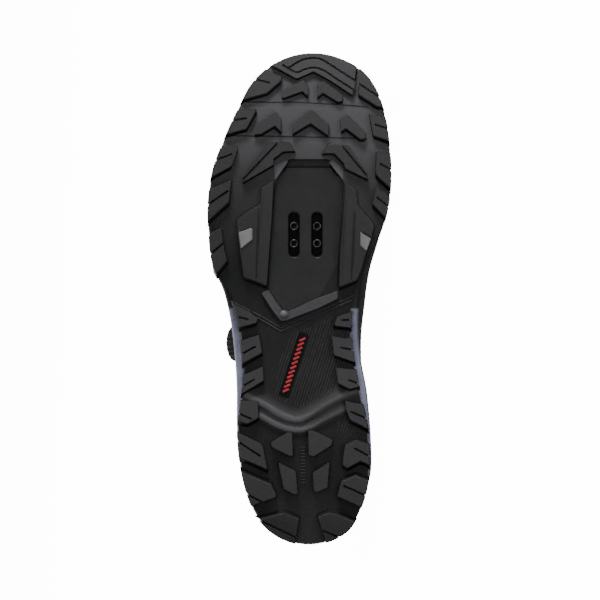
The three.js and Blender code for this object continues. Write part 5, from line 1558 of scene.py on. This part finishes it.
def overlay_piece(name, node, around, low, free_edge, rows=34):
    """A moulded layer on the upper with soft edges, from a lower share of each rib up to its free edge."""
    spans = rib_span(around, low, under_curve(free_edge))
    wide = spans[:, 1] - spans[:, 0]
    kept = np.flatnonzero(wide > OVERLAY_LEAST)
    around, spans = around[kept], spans[kept]
    free = spans[:, 1] < 0.995
    runs = np.split(np.flatnonzero(free), np.flatnonzero(np.diff(np.flatnonzero(free)) > 1) + 1)
    for run in runs:
        if len(run) > 8:
            add_stitches(around[run], spans[run, 1])
    eased = np.linspace(0, 1, rows)
    eased = eased + 0.35 * (0.5 - 0.5 * np.cos(math.pi * eased) - eased)
    ups = spans[:, 0] + eased[:, None] * (spans[:, 1] - spans[:, 0])
    places = np.broadcast_to(around, ups.shape)
    surface = upper_point(places, ups, np.full(ups.shape, GAP))
    border = np.zeros(ups.shape, bool)
    border[0], border[-1], border[:, 0], border[:, -1] = True, True, True, True
    edge = surface[border]
    flat = surface.reshape(-1, 3)
    near = np.array([np.min(np.linalg.norm(edge - point, axis=1)) for point in flat]).reshape(ups.shape)
    round_share = np.clip(near / OVERLAY_ROUND, 0, 1)
    thick = OVERLAY * (OVERLAY_EDGE + (1 - OVERLAY_EDGE) * np.sqrt(1 - (1 - round_share) ** 2))
    outer = upper_point(places, ups, GAP + thick)
    columns = outer.shape[1]
    count = rows * columns
    points = np.concatenate([outer.reshape(-1, 3), flat])
    faces = grid_faces(rows, columns, ring=False)
    faces += [tuple(index + count for index in face[::-1]) for face in faces]
    border_walk = (list(range(columns)) + [row * columns + columns - 1 for row in range(1, rows)]
                   + [(rows - 1) * columns + column for column in range(columns - 2, -1, -1)]
                   + [row * columns for row in range(rows - 2, 0, -1)])
    for a, b in zip(border_walk, border_walk[1:] + border_walk[:1]):
        faces.append((a, b, b + count, a + count))
    new_piece(name, points, faces, film, replaces=[node], slot="overlay", sharp=50)


toe_around, heel_around = np.linspace(-0.16, 0.16, 150), np.linspace(0.32, 0.68, 170)
overlay_piece("toe_overlay", "toe_cap", toe_around, np.full(150, OVERLAY_FOOT), TOE_CAP)
overlay_piece("heel_overlay", "heel_counter", heel_around, np.full(170, OVERLAY_FOOT), HEEL_COUNTER)
lateral_low, medial_low = curve_through(EYESTAY, 1), curve_through(EYESTAY, 2)
stay_around = np.linspace(-0.345, 0.345, 330)
stay_at = 1 - np.abs(1 - 2 * (stay_around % 1))
stay_low = np.where(stay_around % 1 < 0.5, lateral_low(stay_at), medial_low(stay_at))
overlay_piece("eyestay_overlay", "eyestay", stay_around, stay_low, EYESTAY_REAR, rows=22)
stitches.piece("overlay_stitches", thread_grey, slot="overlay", sharp=60)


# Collar: a padded roll with slight quilting and a shallow groove
COLLAR_PUCKERS = 23
PUCKER_DEPTH = 0.025
COLLAR_GROOVE = 0.06
GROOVE_TURN = 0.35
GROOVE_WIDE = 0.16


def collar_piece():
    steps, sides = 170, 28
    share = np.linspace(0, 1, steps)
    around = COLLAR_FRONT / 2 + share * (1 - COLLAR_FRONT)
    taper = 0.55 + 0.45 * np.clip(6 * np.minimum(share, 1 - share), 0, 1)
    rim = upper_point(around, 1.0)
    outward = upper_normal(around, np.ones(steps))
    rise = unit(rim - upper_point(around, NEAR_RIM))
    pucker = 1 - PUCKER_DEPTH * (0.5 + 0.5 * np.cos(share * math.pi * 2 * COLLAR_PUCKERS))
    high, thick = COLLAR_HEIGHT / 2 * taper, COLLAR_THICKNESS / 2 * taper
    center = rim - outward * (UPPER_WALL / 2) + rise * (high + GAP)[:, None]
    lines = []
    for corner in range(sides):
        turn = 2 * math.pi * corner / sides
        up, out = math.sin(turn), math.cos(turn)
        apart = (turn - GROOVE_TURN + math.pi) % (2 * math.pi) - math.pi
        groove = 1 - COLLAR_GROOVE * math.exp(-(apart / GROOVE_WIDE) ** 2)
        reach = 0.985 * high * groove if up > 0 else high + COLLAR_REST
        side = thick * out * 0.97 * pucker * groove
        lines.append(center + rise * (up * reach)[:, None] + outward * side[:, None])
    rings = np.stack(lines, axis=1)
    points, faces = loft(rings, flip=True, tips=rings[[0, -1]].mean(axis=1))
    piece = new_piece("collar_roll", points, faces, soft_lining, replaces=["collar"], slot="lining", sharp=70)


collar_piece()


# Soft or hard pieces taken from their own CAD solids: remeshed and smoothed, or bevelled
BEVELLED_ANGLE = 35


def remeshed(name, node, voxel, smooth, material, slot):
    """A CAD solid made even by a voxel remesh and then relaxed."""
    shape = bpy.data.objects.new(name, frame["nodes"][node].data.copy())
    bpy.context.scene.collection.objects.link(shape)
    remesh = shape.modifiers.new("even", "REMESH")
    remesh.mode = "VOXEL"
    remesh.voxel_size = voxel
    shape.modifiers.new("soft", "SMOOTH").iterations = smooth
    mesh = bpy.data.meshes.new_from_object(shape.evaluated_get(bpy.context.evaluated_depsgraph_get()))
    bpy.data.objects.remove(shape)
    return put_piece(name, mesh, material, slot, [node])


def bevelled(name, node, width, material, slot):
    """A CAD solid with its sharp edges rounded."""
    work = bmesh.new()
    work.from_mesh(frame["nodes"][node].data)
    bmesh.ops.remove_doubles(work, verts=work.verts, dist=0.00001)
    bmesh.ops.dissolve_limit(work, angle_limit=math.radians(4), verts=work.verts, edges=work.edges)
    creased = [edge for edge in work.edges
               if len(edge.link_faces) == 2 and edge.calc_face_angle(0) > math.radians(BEVELLED_ANGLE)
               and edge.calc_length() > 0.0008]
    bmesh.ops.bevel(work, geom=creased, offset=width, segments=2, profile=0.6, affect="EDGES", clamp_overlap=True)
    mesh = bpy.data.meshes.new(name)
    work.to_mesh(mesh)
    work.free()
    return put_piece(name, mesh, material, slot, [node], BEVELLED_ANGLE)


tongue = remeshed("tongue_padded", "tongue", 0.0011, 6, soft_lining, "upper_fabric")


# Insole
def insole_piece():
    inset_by = LUG_PROUD + UPPER_INSET + UPPER_WALL + INSOLE_CLEARANCE + 0.4
    ring = counterclockwise(sole_ring(90, inset_by, False))

    def top(x, y):
        near = np.clip(gap_to(np.column_stack([x, y]), ring) / 1.6, 0, 1)
        round_edge = 1.1 * (1 - np.sqrt(1 - (1 - near) ** 2))
        return edge_height(x) + GAP + INSOLE_THICKNESS - 0.05 - round_edge

    builder = Builder()
    plan_solid(builder, [ring], raised(edge_height, GAP + 0.1), top, 2.6)
    builder.piece("insole_foam", lining_knit, replaces=["insole"], slot="lining", sharp=60,
                  uv=np.array(builder.points)[:, :2] / 120)


insole_piece()


# Dial, guides and lace; the knob's section is given inward from its radius, from its foot and from its top
KNOB_FOOT = ((0.5, 0), (0, 0.4), (0, 2.4))
KNOB_TOP = (
    (0, 1.9), (0.12, 1.1), (0.55, 0.4), (1.2, 0), (2.1, 0), (2.7, 0.25), (3.3, 0.62), (4.0, 0.68), (6.5, 0.72),
    (7.2, 0.95), (9.4, 1.0),
)
KNOB_DIMPLE = 0.95
dial_place = DIAL_AT / 2
seat_offset = GAP + OVERLAY + GAP
dial_axis = upper_normal(dial_place, DIAL_UP)
dial_seat = upper_point(dial_place, DIAL_UP, seat_offset)


def dial_knob():
    foot = DIAL_BASE + GAP
    top = foot + DIAL_HEIGHT
    profile = [(DIAL_RADIUS - pull, foot + rise) for pull, rise in KNOB_FOOT]
    profile += [(DIAL_RADIUS - pull, top - drop) for pull, drop in KNOB_TOP]
    turn = np.linspace(0, 2 * math.pi, DIAL_GRIPS * 12, endpoint=False)
    grip = np.exp(-((((turn * DIAL_GRIPS / (2 * math.pi)) % 1 - 0.5) / 0.17) ** 2))
    rings = []
    for radius, height in profile:
        radii = radius - DIAL_RIM / 2 * grip * (radius > DIAL_RADIUS - 1.3)
        rings.append(np.column_stack([radii * np.cos(turn), radii * np.sin(turn), 0 * turn + height]))
    points, faces = loft(rings, flip=True, tips=[(0, 0, foot), (0, 0, top - KNOB_DIMPLE)])
    tilt = np.array(Vector((0, 0, 1)).rotation_difference(Vector(dial_axis)).to_matrix())
    new_piece("dial_knob_moulded", points @ tilt.T + dial_seat, faces, nylon, replaces=["dial_knob"], slot="nylon",
              sharp=32)


dial_knob()
bevelled("dial_base_moulded", "dial_base", 0.00035, nylon, "nylon")
for number in range(1, len(GUIDES) + 1):
    bevelled(f"lace_guide_{number}_moulded", f"lace_guide_{number}", 0.00045, nylon, "nylon")


def place_of(side, at):
    return at / 2 if side == LATERAL else 1 - at / 2


def lace_route():
    offset, lie = seat_offset + GUIDE_HEIGHT / 2, seat_offset + LACE_RADIUS + GAP
    rimward = unit(upper_point(dial_place, DIAL_UP + 0.1) - upper_point(dial_place, DIAL_UP))
    route = [dial_seat + rimward * (DIAL_RADIUS - DIAL_RIM) + dial_axis * GUIDE_HEIGHT / 2]
    route += [upper_point(dial_place - ahead, up, lie) for up, ahead in LACE_START]
    for index, (side, at) in enumerate(GUIDES):
        probed = upper_point(place_of(side, at + PROBE), 1.0)
        stretch = np.linalg.norm(upper_point(place_of(side, at), 1.0) - probed)
        share = PROBE * LACE_SPREAD / stretch
        heelward, toeward = place_of(side, at + share), place_of(side, at - share)
        route += [upper_point(heelward, 1.0, offset), upper_point(heelward, GUIDE_UP, offset)]
        if index == len(GUIDES) - 1:
            route.append(upper_point(place_of(side, at), GUIDE_UP, offset))
        else:
            route += [upper_point(toeward, GUIDE_UP, offset), upper_point(toeward, 1.0, offset)]
    return np.array(route)


def softened(route, radius):
    """A line of points with each bend rounded over a short way."""
    path = [route[0]]
    for before, corner, after in zip(route[:-2], route[1:-1], route[2:]):
        start, end = before - corner, after - corner
        near = [min(radius, 0.42 * np.linalg.norm(way)) for way in (start, end)]
        first, last = corner + unit(start) * near[0], corner + unit(end) * near[1]
        path += arc(first, corner, last, 7)
    path.append(route[-1])
    return np.array(path)


def lace_piece():
    path = softened(lace_route(), 1.6)
    sides = 14
    way = unit(np.gradient(path, axis=0))
    side = unit(np.cross(way, np.array([0.0, 0.0, 1.0])))
    turn = np.linspace(0, 2 * math.pi, sides, endpoint=False)[:, None]
    ring = side[:, None] * np.cos(turn) + np.cross(side, way)[:, None] * np.sin(turn)
    points, faces = loft(path[:, None] + ring * LACE_RADIUS, tips=path[[0, -1]])
    travelled = travelled_along(path)
    along = np.concatenate([np.repeat(travelled, sides), travelled[[0, -1]]])
    across = np.concatenate([np.tile(np.arange(sides) / sides, len(path)), [0, 0]])
    new_piece("lace_cable", points, faces, lace_steel, replaces=["lace"], slot="steel",
              uv=np.column_stack([along / 100, across]), sharp=70)
    return travelled[-1]


lace_length = lace_piece()


# Stage, light and camera
PAPER_GLOW = 14.0


def stage_sheet():
    far, near, side, height, bend = 6.0, -2.6, 5.0, 3.0, 0.8
    profile = [(near, 0.0)] + [(y, 0.0) for y in np.linspace(near + 0.2, far - bend, 6)]
    profile += [(far - bend + bend * math.sin(turn), bend * (1 - math.cos(turn)))
                for turn in np.linspace(0.1, math.pi / 2, 12)]
    profile += [(far, height)]
    points = [(x, y, z) for y, z in profile for x in (-side, side)]
    mesh = bpy.data.meshes.new("floor")
    mesh.from_pydata(points, [], grid_faces(len(profile), 2, ring=False, flip=True))
    mesh.polygons.foreach_set("use_smooth", [True] * len(mesh.polygons))
    look = Look("paper_sweep", (0.93, 0.93, 0.93), 0.9, specular=0.1)
    look.paint(look.blend(look.noise(3, 2), (0.925, 0.925, 0.925, 1), (0.94, 0.94, 0.94, 1)))
    look.set("Emission Color", (1, 1, 1, 1))
    look.set("Emission Strength", PAPER_GLOW)
    mesh.materials.append(look.material)
    sheet = bpy.data.objects.new("floor", mesh)
    bpy.context.scene.collection.objects.link(sheet)
    for ray in ("diffuse", "glossy", "transmission", "shadow"):
        setattr(sheet, "visible_" + ray, False)
    sheet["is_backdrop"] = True


stage_sheet()

# Lights: name, place, target, size across and up, power
MIDDLE = (0, 0, 0.05)
LIGHTS = (
    ("toe_key", (1.25, -0.5, 0.35), (0.0, -0.05, 0.05), (0.35, 0.4), 22),
    ("front_fill", (0.25, -1.9, 0.9), MIDDLE, (1.0, 0.8), 8),
    ("top_soft", (0.1, 0.1, 1.6), MIDDLE, (1.6, 1.0), 10),
    ("floor_bounce", (0.1, -0.6, -0.25), MIDDLE, (0.9, 0.3), 2.0),
    ("heel_edge", (-1.2, 0.1, 0.6), MIDDLE, (0.6, 0.5), 4),
    ("back_soft", (-0.3, 1.7, 0.8), MIDDLE, (1.4, 0.9), 16),
)
for name, place, target, size, power in LIGHTS:
    data = bpy.data.lights.new(name, "AREA")
    data.shape = "RECTANGLE"
    data.size, data.size_y = size
    data.energy = power
    light = bpy.data.objects.new(name, data)
    bpy.context.scene.collection.objects.link(light)
    light.location = place
    light.rotation_euler = (Vector(target) - Vector(place)).to_track_quat("-Z", "Y").to_euler()

world = bpy.data.worlds.new("studio")
world.use_nodes = True
sky = world.node_tree.nodes["Background"].inputs
sky["Color"].default_value = (1, 1, 1, 1)
sky["Strength"].default_value = 0.1
bpy.context.scene.world = world

LENS = 300.0
SENSOR = 36.0
VIEW_SPREAD = 1.009
VIEW_WIDTH = PHOTO_SIDE * PIXEL / VIEW_SPREAD
SOLE_CENTRE = on_sole([(PHOTO_SIDE / 2, PHOTO_SIDE / 2)])[0]
distance = VIEW_WIDTH * LENS / SENSOR
eye = to_row([(SOLE_CENTRE[0], SOLE_CENTRE[1], -distance)])[0]
data = bpy.data.cameras.new("camera")
data.lens = LENS
data.sensor_width = SENSOR
data.clip_end = 30
camera = bpy.data.objects.new("camera", data)
bpy.context.scene.collection.objects.link(camera)
right, image_up, back = medial_axis, ahead_axis, -up_axis
camera.matrix_world = Matrix.Translation(Vector(eye)) @ Matrix((right, image_up, back)).transposed().to_4x4()
bpy.context.scene.camera = camera

low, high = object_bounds()
